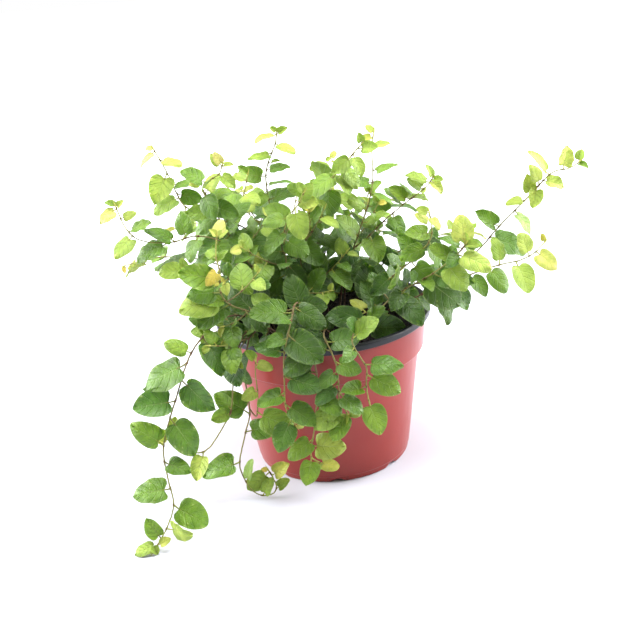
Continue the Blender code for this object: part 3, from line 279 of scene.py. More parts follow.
@dataclass(frozen=True)
class Growth:
    """The numbers that the plant grows by, in millimetres, the same as those of its solids."""

    soil_top: float = 88.0
    sample_spacing: float = 4.0
    stem_radius: float = 1.15
    stem_clearance: float = 2.4
    settle_rounds: int = 60
    # Stems are moved apart only from this height above the soil, by this share of what is short,
    # and as if they were never nearer than this
    settle_above: float = 6.0
    settle_share: float = 0.3
    nearest: float = 0.01
    arch_points: int = 6
    arch_bend: float = 1.4
    # The places along a short side branch, and how far it leans to the front and rises
    twig_places: tuple[float, ...] = (0.0, 0.35, 0.7, 1.0)
    twig_lean: float = 0.45
    twig_rise: float = 0.35
    bare_stem: float = 14.0
    bare_branch: float = 7.0
    tip_stub: float = 1.2
    blade_thickness: float = 0.7
    blade_share: float = 0.88
    blade_width: float = 0.84
    largest_leaf: float = 24.5
    twig_leaf: float = 17.5
    leaf_pitch: float = 0.5
    # How far a leaf may turn, roll and pitch, in degrees
    turn: float = 9.0
    roll: float = 10.0
    pitch: float = 7.0
    # How much of the blade a leaf's span counts, and what a turned leaf's stalk gains
    counted: float = 0.93
    stalk_gain: float = 0.25
    stalk_dip: Span = (-0.1, 0.45)
    stalk_lean: Span = (-0.25, 0.25)
    # The fold and the droop of the newest leaf, and what age adds to them
    fold: Span = (0.30, -0.18)
    droop: Span = (0.02, 0.16)
    breadth_spread: Span = (0.93, 1.08)
    fold_spread: Span = (0.6, 1.2)
    droop_spread: Span = (0.4, 1.4)
    span_spread: Span = (0.88, 1.1)
    youngest: float = 0.15
    youth_spread: Span = (0.0, 0.25)
    # How far the leaves that follow the rule face the sky, outwards and the viewer
    face_sky: float = 0.65
    face_outward: float = 0.6
    face_viewer: float = 0.5
    outward_loss: float = 0.4
    facing_wander: float = 0.3
    # How far they point aside, ahead, down and outwards
    point_aside: float = 0.8
    point_ahead: float = 0.4
    point_down: Span = (0.0, 0.4)
    point_outward: float = 0.2
    # Where they begin to grow smaller towards the tip, and how fast
    taper_start: float = 0.75
    taper: float = 1.6
    # Their size at the stem's end, what an arch adds, and where on the arch the stem begins
    end_size: float = 0.7
    arch_size: float = 0.3
    arch_start: float = 0.25
    # How far the listed leaves face the viewer, the sky and outwards, and point to the viewer
    shown_facing: Point = (0.55, 0.45, 0.35)
    shown_wander: float = 0.32
    shown_lean: Span = (0.0, 0.4)
    tries: int = 30
    looser: float = 0.4
    loosest: float = 4.5
    smaller: float = 0.012


GROWTH = Growth()


class Route:
    """A smooth line through points, read by the share of its length."""

    def __init__(self, points: list[Vector]) -> None:
        """Lays the line.

        Args:
            points: The points that it passes through.
        """
        ends = [2 * points[0] - points[1]] + points + [2 * points[-1] - points[-2]]
        samples = []
        for before, start, end, after in zip(ends, ends[1:], ends[2:], ends[3:]):
            steps = max(2, round((end - start).length))
            samples += [smooth_point(before, start, end, after, step / steps) for step in range(steps)]
        samples.append(points[-1].copy())
        self.marks = [0.0]
        for start, end in zip(samples, samples[1:]):
            self.marks.append(self.marks[-1] + (end - start).length)
        self.length = self.marks[-1]
        self.samples = np.array([sample[:] for sample in samples])

    def at(self, share: float) -> Vector:
        """The point at a share of the length."""
        return Vector([float(np.interp(share * self.length, self.marks, self.samples[:, axis]))
                       for axis in range(3)])

    def along(self, share: float) -> Vector:
        """The direction at a share of the length."""
        step = 2.0 / self.length
        return (self.at(min(share + step, 1.0)) - self.at(max(share - step, 0.0))).normalized()

    def resampled(self) -> list[Vector]:
        """Points along it at an even spacing."""
        count = max(2, round(self.length / GROWTH.sample_spacing))
        return [self.at(step / count) for step in range(count + 1)]


def smooth_point(before: Vector, start: Vector, end: Vector, after: Vector, part: float) -> Vector:
    """A point of the smooth curve between start and end.

    Args:
        before: The point before start.
        start: Where the stretch begins.
        end: Where it ends.
        after: The point after end.
        part: How far along the stretch, from 0 to 1.

    Returns:
        The point.
    """
    return 0.5 * ((2 * start) + (end - before) * part
                  + (2 * before - 5 * start + 4 * end - after) * part ** 2
                  + (3 * start - before - 3 * end + after) * part ** 3)


def arching_points(root: tuple[float, float], bearing: float, reach: float, rise: float, top: float,
                   sway: float) -> list[Point]:
    """The points of a stem that rises from the soil, arches outwards and sways aside.

    Args:
        root: Where it leaves the soil.
        bearing: Its direction in degrees from +X.
        reach: How far out it comes.
        rise: How high it comes above the soil.
        top: The share of its course where it is highest.
        sway: How far it wanders aside.

    Returns:
        The points.
    """
    start = Vector((*root, GROWTH.soil_top))
    heading = Vector((math.cos(math.radians(bearing)), math.sin(math.radians(bearing)), 0))
    aside = Vector((-heading.y, heading.x, 0))
    points = []
    for step in range(GROWTH.arch_points + 1):
        share = step / GROWTH.arch_points
        climb = rise * (2 * share / top - (share / top) ** 2)
        out = heading * reach * share ** GROWTH.arch_bend
        points.append(start + out + aside * sway * math.sin(math.tau * share) + SKY * climb)
    return points


def settle_stems(lines: list[list[Vector]], owners: list[int]) -> list[list[Vector]]:
    """Moves lines of different owners apart where they pass too near each other.

    Args:
        lines: The points of each line.
        owners: The shoot that each line belongs to.

    Returns:
        The lines with their points moved.
    """
    owner = np.concatenate([[index] * len(line) for index, line in zip(owners, lines)])
    number = np.concatenate([[index] * len(line) for index, line in enumerate(lines)])
    spots = np.array([point[:] for line in lines for point in line])
    free = (spots[:, 2] > GROWTH.soil_top + GROWTH.settle_above).astype(float)
    need = 2 * GROWTH.stem_radius + GROWTH.stem_clearance
    for _ in range(GROWTH.settle_rounds):
        shift = np.zeros_like(spots)
        for index in sorted(set(owners)):
            mine = spots[owner == index]
            others = spots[owner != index]
            apart = mine[:, None, :] - others[None, :, :]
            distance = np.linalg.norm(apart, axis=2)
            short = np.clip(need - distance, 0, None) / np.maximum(distance, GROWTH.nearest)
            shift[owner == index] = (apart * short[:, :, None]).sum(axis=1) * GROWTH.settle_share
        spots += np.clip(shift, -1.0, 1.0) * free[:, None]
    return [[Vector(spot) for spot in spots[number == index]] for index in range(len(lines))]


def nearer_point(point: Vector, distance: float) -> Vector:
    """The point moved towards the viewpoint."""
    return point + (VIEWPOINT - point).normalized() * distance


def outward(point: Vector) -> Vector:
    """The level direction away from the pot's middle."""
    return Vector((point.x, point.y, 0)).normalized()


def wander(draw: random.Random, size: float) -> Vector:
    """A small seeded change of a direction."""
    return Vector([draw.uniform(-size, size) for _ in range(3)])


def twig_route(joint: Vector, turn: float, reach: float) -> list[Vector]:
    """A short side branch that leaves a stem as seen from the front and then rises.

    Args:
        joint: Where it leaves the stem.
        turn: Its turn in degrees anticlockwise from the right.
        reach: Its length.

    Returns:
        Its points.
    """
    angle = math.radians(turn)
    heading = RIGHT * math.cos(angle) + UPWARD * math.sin(angle) + TOWARDS * GROWTH.twig_lean
    return [joint + (heading * share + SKY * GROWTH.twig_rise * share ** 2) * reach
            for share in GROWTH.twig_places]


@dataclass(frozen=True)
class Wish:
    """A leaf as it is wanted: its place on the stem, the ways it points and faces, its span and age."""

    share: float
    axis: Vector
    facing: Vector
    span: float
    age: float


@dataclass(frozen=True)
class Leaf:
    """Where a leaf stands and what size it has, in millimetres."""

    root: Vector
    base: Vector
    axis: Vector
    side: Vector
    normal: Vector
    length: float
    width: float
    fold: float
    droop: float
    age: float

    def surface(self, across: float, along: float) -> Vector:
        """A point of the folded and drooping blade.

        Args:
            across: How far from the midrib.
            along: How far from the stalk.

        Returns:
            The point.
        """
        lift = self.fold * abs(across) - self.droop * along * abs(along) / self.length
        return self.base + self.side * across + self.axis * along + self.normal * lift


def stand_leaf(root: Vector, wish: Wish, draw: random.Random, loosen: float) -> Leaf:
    """A leaf on its stalk, with a seeded variation. Old leaves droop and new ones are folded.

    Args:
        root: Where the stalk leaves the stem.
        wish: The leaf that is wanted.
        draw: The seeded numbers.
        loosen: How far the leaf may turn from what is wanted.

    Returns:
        The leaf.
    """
    blade = GROWTH.blade_share * wish.span
    axis = wish.axis.normalized()
    normal = (wish.facing - axis * wish.facing.dot(axis)).normalized()
    axis = Matrix.Rotation(math.radians(draw.uniform(-1, 1) * GROWTH.turn * loosen), 3, normal) @ axis
    rolled = draw.uniform(-1, 1) * (GROWTH.roll + GROWTH.turn * loosen)
    normal = Matrix.Rotation(math.radians(rolled), 3, axis) @ normal
    side = axis.cross(normal)
    stalk_length = wish.span - GROWTH.counted * blade + GROWTH.stalk_gain * loosen
    dip = draw.uniform(*GROWTH.stalk_dip)
    stalk = (axis - normal * dip + side * draw.uniform(*GROWTH.stalk_lean)).normalized()
    pitch = Matrix.Rotation(math.radians(draw.uniform(-1, 1) * GROWTH.pitch * loosen), 3, side)
    width = blade * GROWTH.blade_width * draw.uniform(*GROWTH.breadth_spread)
    fold, droop = ((new + gain * wish.age) * draw.uniform(*spread)
                   for (new, gain), spread in ((GROWTH.fold, GROWTH.fold_spread),
                                               (GROWTH.droop, GROWTH.droop_spread)))
    return Leaf(root, root + stalk * stalk_length, pitch @ axis, side, pitch @ normal, blade, width,
                fold, droop, wish.age)


def ruled_leaves(route: Route, first: float, last: float, seed: int, largest: float, oldest: float,
                 forward: int) -> list[Wish]:
    """Leaves that follow the plant's own rule: by turns on each side, along a bare stretch.

    Args:
        route: The stem.
        first: Where they begin along it.
        last: Where they end.
        seed: The start of the seeded numbers.
        largest: The span of the largest leaf.
        oldest: The age of the oldest.
        forward: 1 for leaves that face the picture's side, else 0.

    Returns:
        The leaves that are wanted.
    """
    draw = random.Random(seed)
    count = max(1, int((last - first) * route.length / (GROWTH.leaf_pitch * largest)))
    leaves = []
    for index in range(count):
        share = first + (last - first) * (index + 0.5) / count
        point, ahead = route.at(share), route.along(share)
        open_side = outward(point) * (GROWTH.face_outward - GROWTH.outward_loss * forward)
        sky = (SKY * GROWTH.face_sky + open_side + TOWARDS * GROWTH.face_viewer * forward).normalized()
        hand = 1 if index % 2 else -1
        side = ahead.cross(sky).normalized() * hand
        axis = (side * GROWTH.point_aside + ahead * GROWTH.point_ahead
                - SKY * draw.uniform(*GROWTH.point_down) + outward(point) * GROWTH.point_outward)
        taper = 1.0 - GROWTH.taper * max(0.0, share - GROWTH.taper_start)
        arch = math.sin(math.pi * min(1.0, GROWTH.arch_start + (1 - GROWTH.arch_start) * share))
        size = largest * (GROWTH.end_size + GROWTH.arch_size * arch)
        facing = sky + wander(draw, GROWTH.facing_wander)
        span = size * taper * draw.uniform(*GROWTH.span_spread)
        age = oldest - (oldest - GROWTH.youngest) * share ** 3 - draw.uniform(*GROWTH.youth_spread)
        leaves.append(Wish(share, axis, facing, span, max(age, 0.0)))
    return leaves


def shown_leaves(plan: list[ShownLeaf], route: Route, seed: int) -> list[Wish]:
    """Leaves that are listed with a shoot.

    Args:
        plan: The listed leaves.
        route: The stem that bears them.
        seed: The start of the seeded numbers.

    Returns:
        The leaves that are wanted.
    """
    viewer, sky, out = GROWTH.shown_facing
    leaves = []
    for index, (share, turn, span, age) in enumerate(plan):
        draw = random.Random(seed + index)
        facing = (TOWARDS * viewer + SKY * sky + outward(route.at(share)) * out
                  + wander(draw, GROWTH.shown_wander))
        leaves.append(Wish(share, shown_axis(turn, draw), facing, span, age))
    return leaves


def shown_axis(turn: float, draw: random.Random) -> Vector:
    """The way a leaf points, for a leaf given by its turn as seen from the front."""
    angle = math.radians(turn)
    return RIGHT * math.cos(angle) + UPWARD * math.sin(angle) + TOWARDS * draw.uniform(*GROWTH.shown_lean)


@dataclass
class Stem:
    """A stem or branch, with the leaves that stand on it."""

    route: Route
    radius: float
    oldest: float
    leaves: list[tuple[float, Leaf]] = field(default_factory=list)


@dataclass
class Shoot:
    """One leafy stem with its branches, from its node's name, its number in the plant, the settled
    points of its stem and branches, and what it bears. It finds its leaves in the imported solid."""

    name: str
    number: int
    lines: list[list[Vector]]
    plan: Plan
    stem_radius: float = 0.6
    branch_radius: float = 0.48
    branch_age: float = 0.7
    # How far apart the seeded numbers of two shoots, of two branches and of two leaves' tries start
    shoot_seeds: int = 1000
    branch_seeds: int = 100
    leaf_seeds: int = 100
    match: float = 0.05
    least_stretch: float = 0.06
    stems: list[Stem] = field(default_factory=list)
    wishes: list[tuple[int, Wish]] = field(default_factory=list)

    def __post_init__(self) -> None:
        """Lays the stems and lists the leaves that are wanted on them."""
        plan = self.plan
        trunk = Route(self.lines[0])
        self.stems.append(Stem(trunk, self.stem_radius, 1.0))
        seed = SEED + self.shoot_seeds * self.number
        listed = shown_leaves(plan.leaves, trunk, seed)
        self.wishes += [(0, wish) for wish in listed]
        last = min([wish.share for wish in listed], default=1.0)
        first = GROWTH.bare_stem / trunk.length
        if last - first > self.least_stretch:
            ruled = ruled_leaves(trunk, first, last, seed, GROWTH.largest_leaf, 1.0, int(bool(listed)))
            self.wishes += [(0, wish) for wish in ruled]
        for index, (branch, line) in enumerate(zip(plan.branches, self.lines[1:]), 1):
            route = Route([trunk.at(branch.at)] + line[1:])
            self.stems.append(Stem(route, self.branch_radius, self.branch_age))
            own_seed = seed + self.branch_seeds * index
            if branch.leaves:
                wishes = shown_leaves(branch.leaves, route, own_seed)
            else:
                wishes = ruled_leaves(route, GROWTH.bare_branch / route.length, 1.0, own_seed,
                                      GROWTH.twig_leaf, self.branch_age, 1)
            self.wishes += [(index, wish) for wish in wishes]

    def find_leaves(self, node: Object) -> None:
        """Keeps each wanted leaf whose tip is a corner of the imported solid.

        Args:
            node: The shoot's solid.
        """
        corners = KDTree(len(node.data.vertices))
        for index, vert in enumerate(node.data.vertices):
            corners.insert(vert.co / MM, index)
        corners.balance()
        first_seed = SEED + self.shoot_seeds * self.number
        for index, (stem, wish) in enumerate(self.wishes):
            route = self.stems[stem].route
            share = min(wish.share, 1.0 - GROWTH.tip_stub / route.length)
            root = route.at(share)
            for trial in range(GROWTH.tries):
                draw = random.Random((first_seed + index) * self.leaf_seeds + trial)
                smaller = replace(wish, span=wish.span * (1 - GROWTH.smaller * trial))
                loosen = min(GROWTH.looser + GROWTH.looser * trial, GROWTH.loosest)
                leaf = stand_leaf(root, smaller, draw, loosen)
                tip = leaf.surface(0, leaf.length) + leaf.normal * GROWTH.blade_thickness / 2
                if corners.find(tip)[2] < self.match:
                    self.stems[stem].leaves.append((share, leaf))
                    break


def plan_shoots() -> list[Shoot]:
    """All shoots, with their stems and branches settled clear of each other."""
    plans = dict(SHOOTS)
    for name, shape in ARCHING.items():
        plans[name] = Plan(route=arching_points(*shape))
    lines, owners = [], []
    for number, (name, plan) in enumerate(plans.items()):
        points = [Vector(point) for point in plan.route]
        trunk = Route([nearer_point(point, plan.nearer * (index / len(points)) ** 2)
                       for index, point in enumerate(points)])
        twigs = [Branch(at, twig_route(trunk.at(at), turn, reach)[1:]) for at, turn, reach in plan.twigs]
        plans[name] = replace(plan, branches=plan.branches + twigs)
        routes = [trunk] + [Route([trunk.at(branch.at)] + [Vector(point) for point in branch.route])
                            for branch in plans[name].branches]
        lines += [route.resampled() for route in routes]
        owners += [number] * len(routes)
    settled = settle_stems(lines, owners)
    shoots = []
    for number, (name, plan) in enumerate(plans.items()):
        own = [line for line, owner in zip(settled, owners) if owner == number]
        shoots.append(Shoot(name, number, own, plan))
    return shoots


# Colour and nodes

# Inputs and output of a colour mix
FACTOR, BELOW, ABOVE, MIXED = 0, 6, 7, 2
SOFT_STEP = {"interpolation_type": "SMOOTHSTEP"}


def linear(code: str) -> tuple[float, float, float, float]:
    """The linear colour of an sRGB hex code.

    Args:
        code: Six hex digits after a #.

    Returns:
        Red, green, blue and alpha.
    """
    values = [int(code[place:place + 2], 16) / 255 for place in (1, 3, 5)]
    red, green, blue = (value / 12.92 if value <= 0.04045 else ((value + 0.055) / 1.055) ** 2.4
                        for value in values)
    return red, green, blue, 1.0


def feed(tree: NodeTree, node: Node, inputs: dict | tuple) -> None:
    """Sets a node's inputs to values, or links them.

    Args:
        tree: The material's nodes.
        node: The node.
        inputs: Values, or the outputs that feed them, by name or number or in the inputs' order.
    """
    for name, value in inputs.items() if isinstance(inputs, dict) else enumerate(inputs):
        if isinstance(value, NodeSocket):
            tree.links.new(value, node.inputs[name])
        else:
            node.inputs[name].default_value = value


def add_node(tree: NodeTree, kind: str, inputs: dict | tuple, output: str | int = 0,
             stops: tuple[tuple[float, str], ...] = (), **settings: object) -> NodeSocket:
    """Adds a node with its settings and links.

    Args:
        tree: The material's nodes.
        kind: The node's type, without the words that all types begin with.
        inputs: Values, or the outputs that feed them, by name or number or in the inputs' order.
        output: The name or number of the output that is wanted.
        stops: The place and the hex code of each colour, for a node that holds a ramp.
        settings: The node's own properties.

    Returns:
        The wanted output.
    """
    node = tree.nodes.new("ShaderNode" + kind)
    for name, value in settings.items():
        setattr(node, name, value)
    for index, (place, code) in enumerate(stops):
        steps = node.color_ramp.elements
        step = steps[index] if index < 2 else steps.new(place)
        step.position, step.color = place, linear(code)
    feed(tree, node, inputs)
    return node.outputs[output]


class Relief(Enum):
    """Which way the bumps of a surface stand."""

    RAISED = False
    SUNKEN = True


def start_material(name: str) -> tuple[Material, Callable, Callable]:
    """A new material with its shader.

    Args:
        name: The real material and how it was made.

    Returns:
        The material, the call that adds a node to it, and the call that feeds its shader.
    """
    material = bpy.data.materials.new(name)
    material.use_nodes = True
    tree = material.node_tree
    return material, partial(add_node, tree), partial(feed, tree, tree.nodes["Principled BSDF"])


@dataclass(frozen=True)
class BladeFinish:
    """A side of a living fig leaf. It grew with a waxy skin, which gives a soft sheen over
    slightly puffed fields between paler veins. The ages are colours from a new leaf to an old one.
    A share says how much of a colour shows, and a span where it begins and ends."""

    name: str
    ages: tuple[tuple[float, str], ...]
    vein: str
    midrib_share: float
    vein_share: float
    net_share: float
    # Painted shade towards the margins: its colour and how much of it shows
    shade: str
    shade_share: float
    # A blue-green tint on a few old leaves, partly their own tone and partly painted sheen: its colour and
    # how much shows
    blue_green_tone_and_sheen: str
    blue_green_tone_and_sheen_share: float
    roughness: float
    gloss: float
    glow: float
    relief: Relief
    # Painted shade near the crown's middle: its colour, how much shows, the age it adds, the height of the
    # middle, how flat the shaded part is, and the distances over which it fades
    painted_crown_shade: str = "#8CA255"
    painted_crown_shade_share: float = 0.56
    painted_crown_shade_age: float = 0.28
    crown_height: float = 0.095
    flattening: float = 1.7
    painted_crown_shade_depth: Span = (0.045, 0.13)
    gold: str = "#CBA22E"
    gold_share: float = 0.6
    gold_tints: Span = (0.72, 0.9)
    gold_ages: Span = (0.12, 0.3)
    blue_green_tone_and_sheen_tints: Span = (0.07, 0.137)
    shade_span: Span = (0.1, 0.5)
    midrib_span: Span = (0.01, 0.045)
    vein_span: Span = (0.02, 0.12)
    net_span: Span = (0.0, 0.12)
    net_height: float = 0.35
    rim_span: Span = (0.86, 1.0)
    rim_share: float = 0.1
    waxless: float = 0.22
    vein_depth: float = 0.3
    net_size: float = 1.5
    cloud_size: float = 5.0
    mottle: float = 0.26
    spread: float = 0.18
    wax_ages: Span = (0.2, 0.9)
    glow_radius: Point = (0.7, 1.0, 0.25)
    glow_depth: float = 1.2

    def material(self) -> Material:
        """The finish as a material. The mesh's "blade" attribute holds the place across the blade,
        the place among its side veins and the leaf's age; "tint" holds a number for each leaf."""
        material, node, dress = start_material(self.name)
        place = node("TexCoord", (), "Object")
        blade = node("Attribute", (), "Vector", attribute_name="blade")
        across, among, grown = node("SeparateXYZ", (blade,)).node.outputs
        tint = node("Attribute", (), "Fac", attribute_name="tint")
        cloud = node("TexNoise", {"Vector": place, "Scale": 1 / (self.cloud_size * MM), "Detail": 3.0})
        # Painted shade near the crown's middle: leaves there are coloured older and multiplied darker than
        # those in the light
        level = node("Mapping", {"Vector": place, "Scale": (1.0, 1.0, self.flattening),
                                 "Location": (0.0, 0.0, -self.crown_height * self.flattening)})
        depth = node("VectorMath", (level,), "Value", operation="LENGTH")
        inside = node("MapRange", (depth, *self.painted_crown_shade_depth, self.painted_crown_shade_share, 0.0), **SOFT_STEP)
        own = node("Math", (tint, self.spread, grown), operation="MULTIPLY_ADD")
        own = node("Math", (inside, self.painted_crown_shade_age, own), operation="MULTIPLY_ADD")
        uneven = node("Math", (cloud, self.mottle, own), operation="MULTIPLY_ADD")
        age = node("Math", (uneven, (self.mottle + self.spread) / 2), operation="SUBTRACT")
        skin = node("ValToRGB", (age,), "Color", self.ages)
        # A few of the newest leaves are golden, and a few of the old ones blue-green, a tint that is partly
        # their own tone and partly painted sheen
        rare = node("MapRange", (tint, *self.gold_tints, 0.0, self.gold_share))
        new = node("MapRange", (grown, *self.gold_ages, 1.0, 0.0))
        golden = node("Math", (rare, new), operation="MULTIPLY")
        other = node("Math", (tint, self.blue_green_tone_and_sheen_tints[1]), operation="PINGPONG")
        blue_green_tone_and_sheen_mask = node("MapRange", (other, *self.blue_green_tone_and_sheen_tints, 0.0, self.blue_green_tone_and_sheen_share))
        blue_green_tone_and_sheen_mask = node("Math", (blue_green_tone_and_sheen_mask, grown), operation="MULTIPLY")
        aside = node("Math", (across,), operation="ABSOLUTE")
        # Painted shade: the blade is multiplied darker towards its margins, in uneven patches
        edge = node("Math", (aside, cloud), operation="MULTIPLY")
        dark = node("MapRange", (edge, *self.shade_span, 0.0, self.shade_share), **SOFT_STEP)
        midrib = node("MapRange", (aside, *self.midrib_span, 1.0, 0.0), **SOFT_STEP)
        beside = node("Math", (among, 0.5), operation="PINGPONG")
        side_vein = node("MapRange", (beside, *self.vein_span, 1.0, 0.0), **SOFT_STEP)
        veins = node("Math", (midrib, side_vein), operation="MAXIMUM")
        fields = node("TexVoronoi", {"Vector": place, "Scale": 1 / (self.net_size * MM)}, "Distance",
                      feature="DISTANCE_TO_EDGE")
        net = node("MapRange", (fields, *self.net_span, 1.0, 0.0), **SOFT_STEP)
        rim = node("MapRange", (aside, *self.rim_span), **SOFT_STEP)
        paler = [(node("Math", (pattern, share), operation="MULTIPLY"), self.vein, "MIX")
                 for pattern, share in ((net, self.net_share), (side_vein, self.vein_share),
                                        (midrib, self.midrib_share), (rim, self.rim_share))]
        # Mixed in turn: golden new leaves, the blue-green tint that is partly painted sheen, painted shade at
        # the margins, paler net, veins, midrib and margin, and last the painted shade near the crown's middle
        for share, colour, blend in ((golden, self.gold, "MIX"), (blue_green_tone_and_sheen_mask, self.blue_green_tone_and_sheen, "MIX"),
                                     (dark, self.shade, "MULTIPLY"), *paler,
                                     (inside, self.painted_crown_shade, "MULTIPLY")):
            skin = node("Mix", {FACTOR: share, BELOW: skin, ABOVE: linear(colour)}, MIXED,
                        data_type="RGBA", blend_type=blend)
        # A new leaf is matt, and its wax makes it shine as it ages
        rough = node("MapRange", (uneven, *self.wax_ages, self.roughness + self.waxless, self.roughness))
        height = node("Math", (net, self.net_height, veins), operation="MULTIPLY_ADD")
        relief = node("Bump", {"Height": height, "Distance": self.vein_depth * MM}, invert=self.relief.value)
        dress({"Base Color": skin, "Roughness": rough, "Specular IOR Level": self.gloss,
               "Subsurface Weight": self.glow, "Subsurface Radius": self.glow_radius,
               "Subsurface Scale": self.glow_depth * MM, "Normal": relief})
        return material


@dataclass(frozen=True)
class StemFinish:
    """Bark or a leaf stalk. It grew: green and smooth when new, brown and finely cracked when old.
    A knot is the brown scar that stands at each leaf."""

    name: str
    ages: tuple[tuple[float, str], ...]
    roughness: float
    knot: str
    crack: str = "#3B261C"
    crack_share: float = 0.35
    knot_share: float = 0.8
    knot_span: Span = (0.25, 0.95)
    crack_span: Span = (0.35, 0.75)
    mottle: float = 0.3
    grain: float = 0.5
    depth: float = 0.12
    gloss: float = 0.3

    def material(self) -> Material:
        """The finish as a material. The mesh's "blade" attribute holds, for a stem, how near a
        leaf's scar is and the stem's age."""
        material, node, dress = start_material(self.name)
        place = node("TexCoord", (), "Object")
        blade = node("Attribute", (), "Vector", attribute_name="blade")
        _, near, grown = node("SeparateXYZ", (blade,)).node.outputs
        grain, cloud = (node("TexNoise", {"Vector": place, "Scale": 1 / (size * MM), "Detail": detail})
                        for size, detail in ((self.grain, 4.0), (6 * self.grain, 3.0)))
        uneven = node("Math", (cloud, self.mottle, grown), operation="MULTIPLY_ADD")
        age = node("Math", (uneven, self.mottle / 2), operation="SUBTRACT")
        skin = node("ValToRGB", (age,), "Color", self.ages)
        scar = node("MapRange", (near, *self.knot_span, 0.0, self.knot_share), **SOFT_STEP)
        cracked = node("MapRange", (grain, *self.crack_span, self.crack_share, 0.0), **SOFT_STEP)
        for share, colour, blend in ((scar, self.knot, "MIX"), (cracked, self.crack, "MULTIPLY")):
            skin = node("Mix", {FACTOR: share, BELOW: skin, ABOVE: linear(colour)}, MIXED,
                        data_type="RGBA", blend_type=blend)
        relief = node("Bump", {"Height": grain, "Distance": self.depth * MM})
        dress({"Base Color": skin, "Roughness": self.roughness, "Specular IOR Level": self.gloss,
               "Normal": relief})
        return material


@dataclass(frozen=True)
class PotFinish:
    """Polypropylene, thermoformed from sheet. It has a glossy skin with a faint orange peel, and
    upright scuffs where pots slide in and out of trays. Sizes are in millimetres."""

    name: str
    colour: str
    worn: str
    dusty: str
    roughness: float
    gloss: float
    fading: float = 24.0
    faded_span: Span = (0.3, 0.7)
    faded_share: float = 0.35
    scuff: float = 2.4
    scuff_share: float = 0.10
    scuff_span: Span = (0.62, 0.78)
    rough_span: Span = (0.4, 0.8)
    roughening: float = 0.08
    scuff_stretch: Point = (1.0, 1.0, 0.16)
    dust: float = 0.8
    dust_share: float = 0.6
    dust_span: Span = (0.55, 0.68)
    dust_heights: Span = (0.001, 0.016)
    peel: float = 1.1
    peel_depth: float = 0.004

    def material(self) -> Material:
        """The finish as a material."""
        material, node, dress = start_material(self.name)
        place = node("TexCoord", (), "Object")
        tall = node("VectorMath", (place, self.scuff_stretch), operation="MULTIPLY")
        cloud, scuff, speck, peel = (
            node("TexNoise", {"Vector": where, "Scale": 1 / (size * MM), "Detail": detail})
            for where, size, detail in ((place, self.fading, 4.0), (tall, self.scuff, 5.0),
                                        (place, self.dust, 2.0), (place, self.peel, 2.0)))
        faded = node("MapRange", (cloud, *self.faded_span, 0.0, self.faded_share), **SOFT_STEP)
        rubbed = node("MapRange", (scuff, *self.scuff_span, 0.0, self.scuff_share), **SOFT_STEP)
        height = node("SeparateXYZ", (place,), "Z")
        low = node("MapRange", (height, *self.dust_heights, self.dust_share, 0.0), **SOFT_STEP)
        grit = node("MapRange", (speck, *self.dust_span), **SOFT_STEP)
        dust = node("Math", (low, grit), operation="MULTIPLY")
        skin = linear(self.colour)
        for share, colour in ((faded, self.worn), (rubbed, self.worn), (dust, self.dusty)):
            skin = node("Mix", {FACTOR: share, BELOW: skin, ABOVE: linear(colour)}, MIXED, data_type="RGBA")
        rough = node("MapRange", (scuff, *self.rough_span, self.roughness, self.roughness + self.roughening))
        relief = node("Bump", {"Height": peel, "Distance": self.peel_depth * MM})
        dress({"Base Color": skin, "Roughness": rough, "Specular IOR Level": self.gloss, "Normal": relief})
        return material


@dataclass(frozen=True)
class PeatFinish:
    """Potting soil: milled peat and bark, poured and watered in. It is almost black where damp,
    with dry fibres that catch the light. Sizes are in millimetres."""

    name: str = "potting soil, milled peat and bark"
    damp: str = "#100D0B"
    dry: str = "#33261C"
    fibre: str = "#6A5340"
    clod: float = 6.0
    crumb: float = 1.6
    fibre_size: float = 0.9
    fibre_stretch: Point = (1.0, 0.22, 1.0)
    roughness: float = 0.93
    gloss: float = 0.25
    crumb_height: float = 0.9

    def material(self) -> Material:
        """The finish as a material."""
        material, node, dress = start_material(self.name)
        place = node("TexCoord", (), "Object")
        long = node("VectorMath", (place, self.fibre_stretch), operation="MULTIPLY")
        clod, crumb, fibres = (
            node("TexNoise", {"Vector": where, "Scale": 1 / (size * MM), "Detail": detail})
            for where, size, detail in ((place, self.clod, 4.0), (place, self.crumb, 6.0),
                                        (long, self.fibre_size, 2.0)))
        skin = linear(self.damp)
        for pattern, low, high, start, end, colour in ((crumb, 0.42, 0.75, 0.0, 1.0, self.dry),
                                                       (clod, 0.35, 0.65, 0.65, 0.0, self.damp),
                                                       (fibres, 0.68, 0.80, 0.0, 0.5, self.fibre)):
            share = node("MapRange", (pattern, low, high, start, end), **SOFT_STEP)
            skin = node("Mix", {FACTOR: share, BELOW: skin, ABOVE: linear(colour)}, MIXED, data_type="RGBA")
        relief = node("Bump", {"Height": crumb, "Distance": self.crumb_height * MM})
        dress({"Base Color": skin, "Roughness": self.roughness, "Specular IOR Level": self.gloss,
               "Normal": relief})
        return material


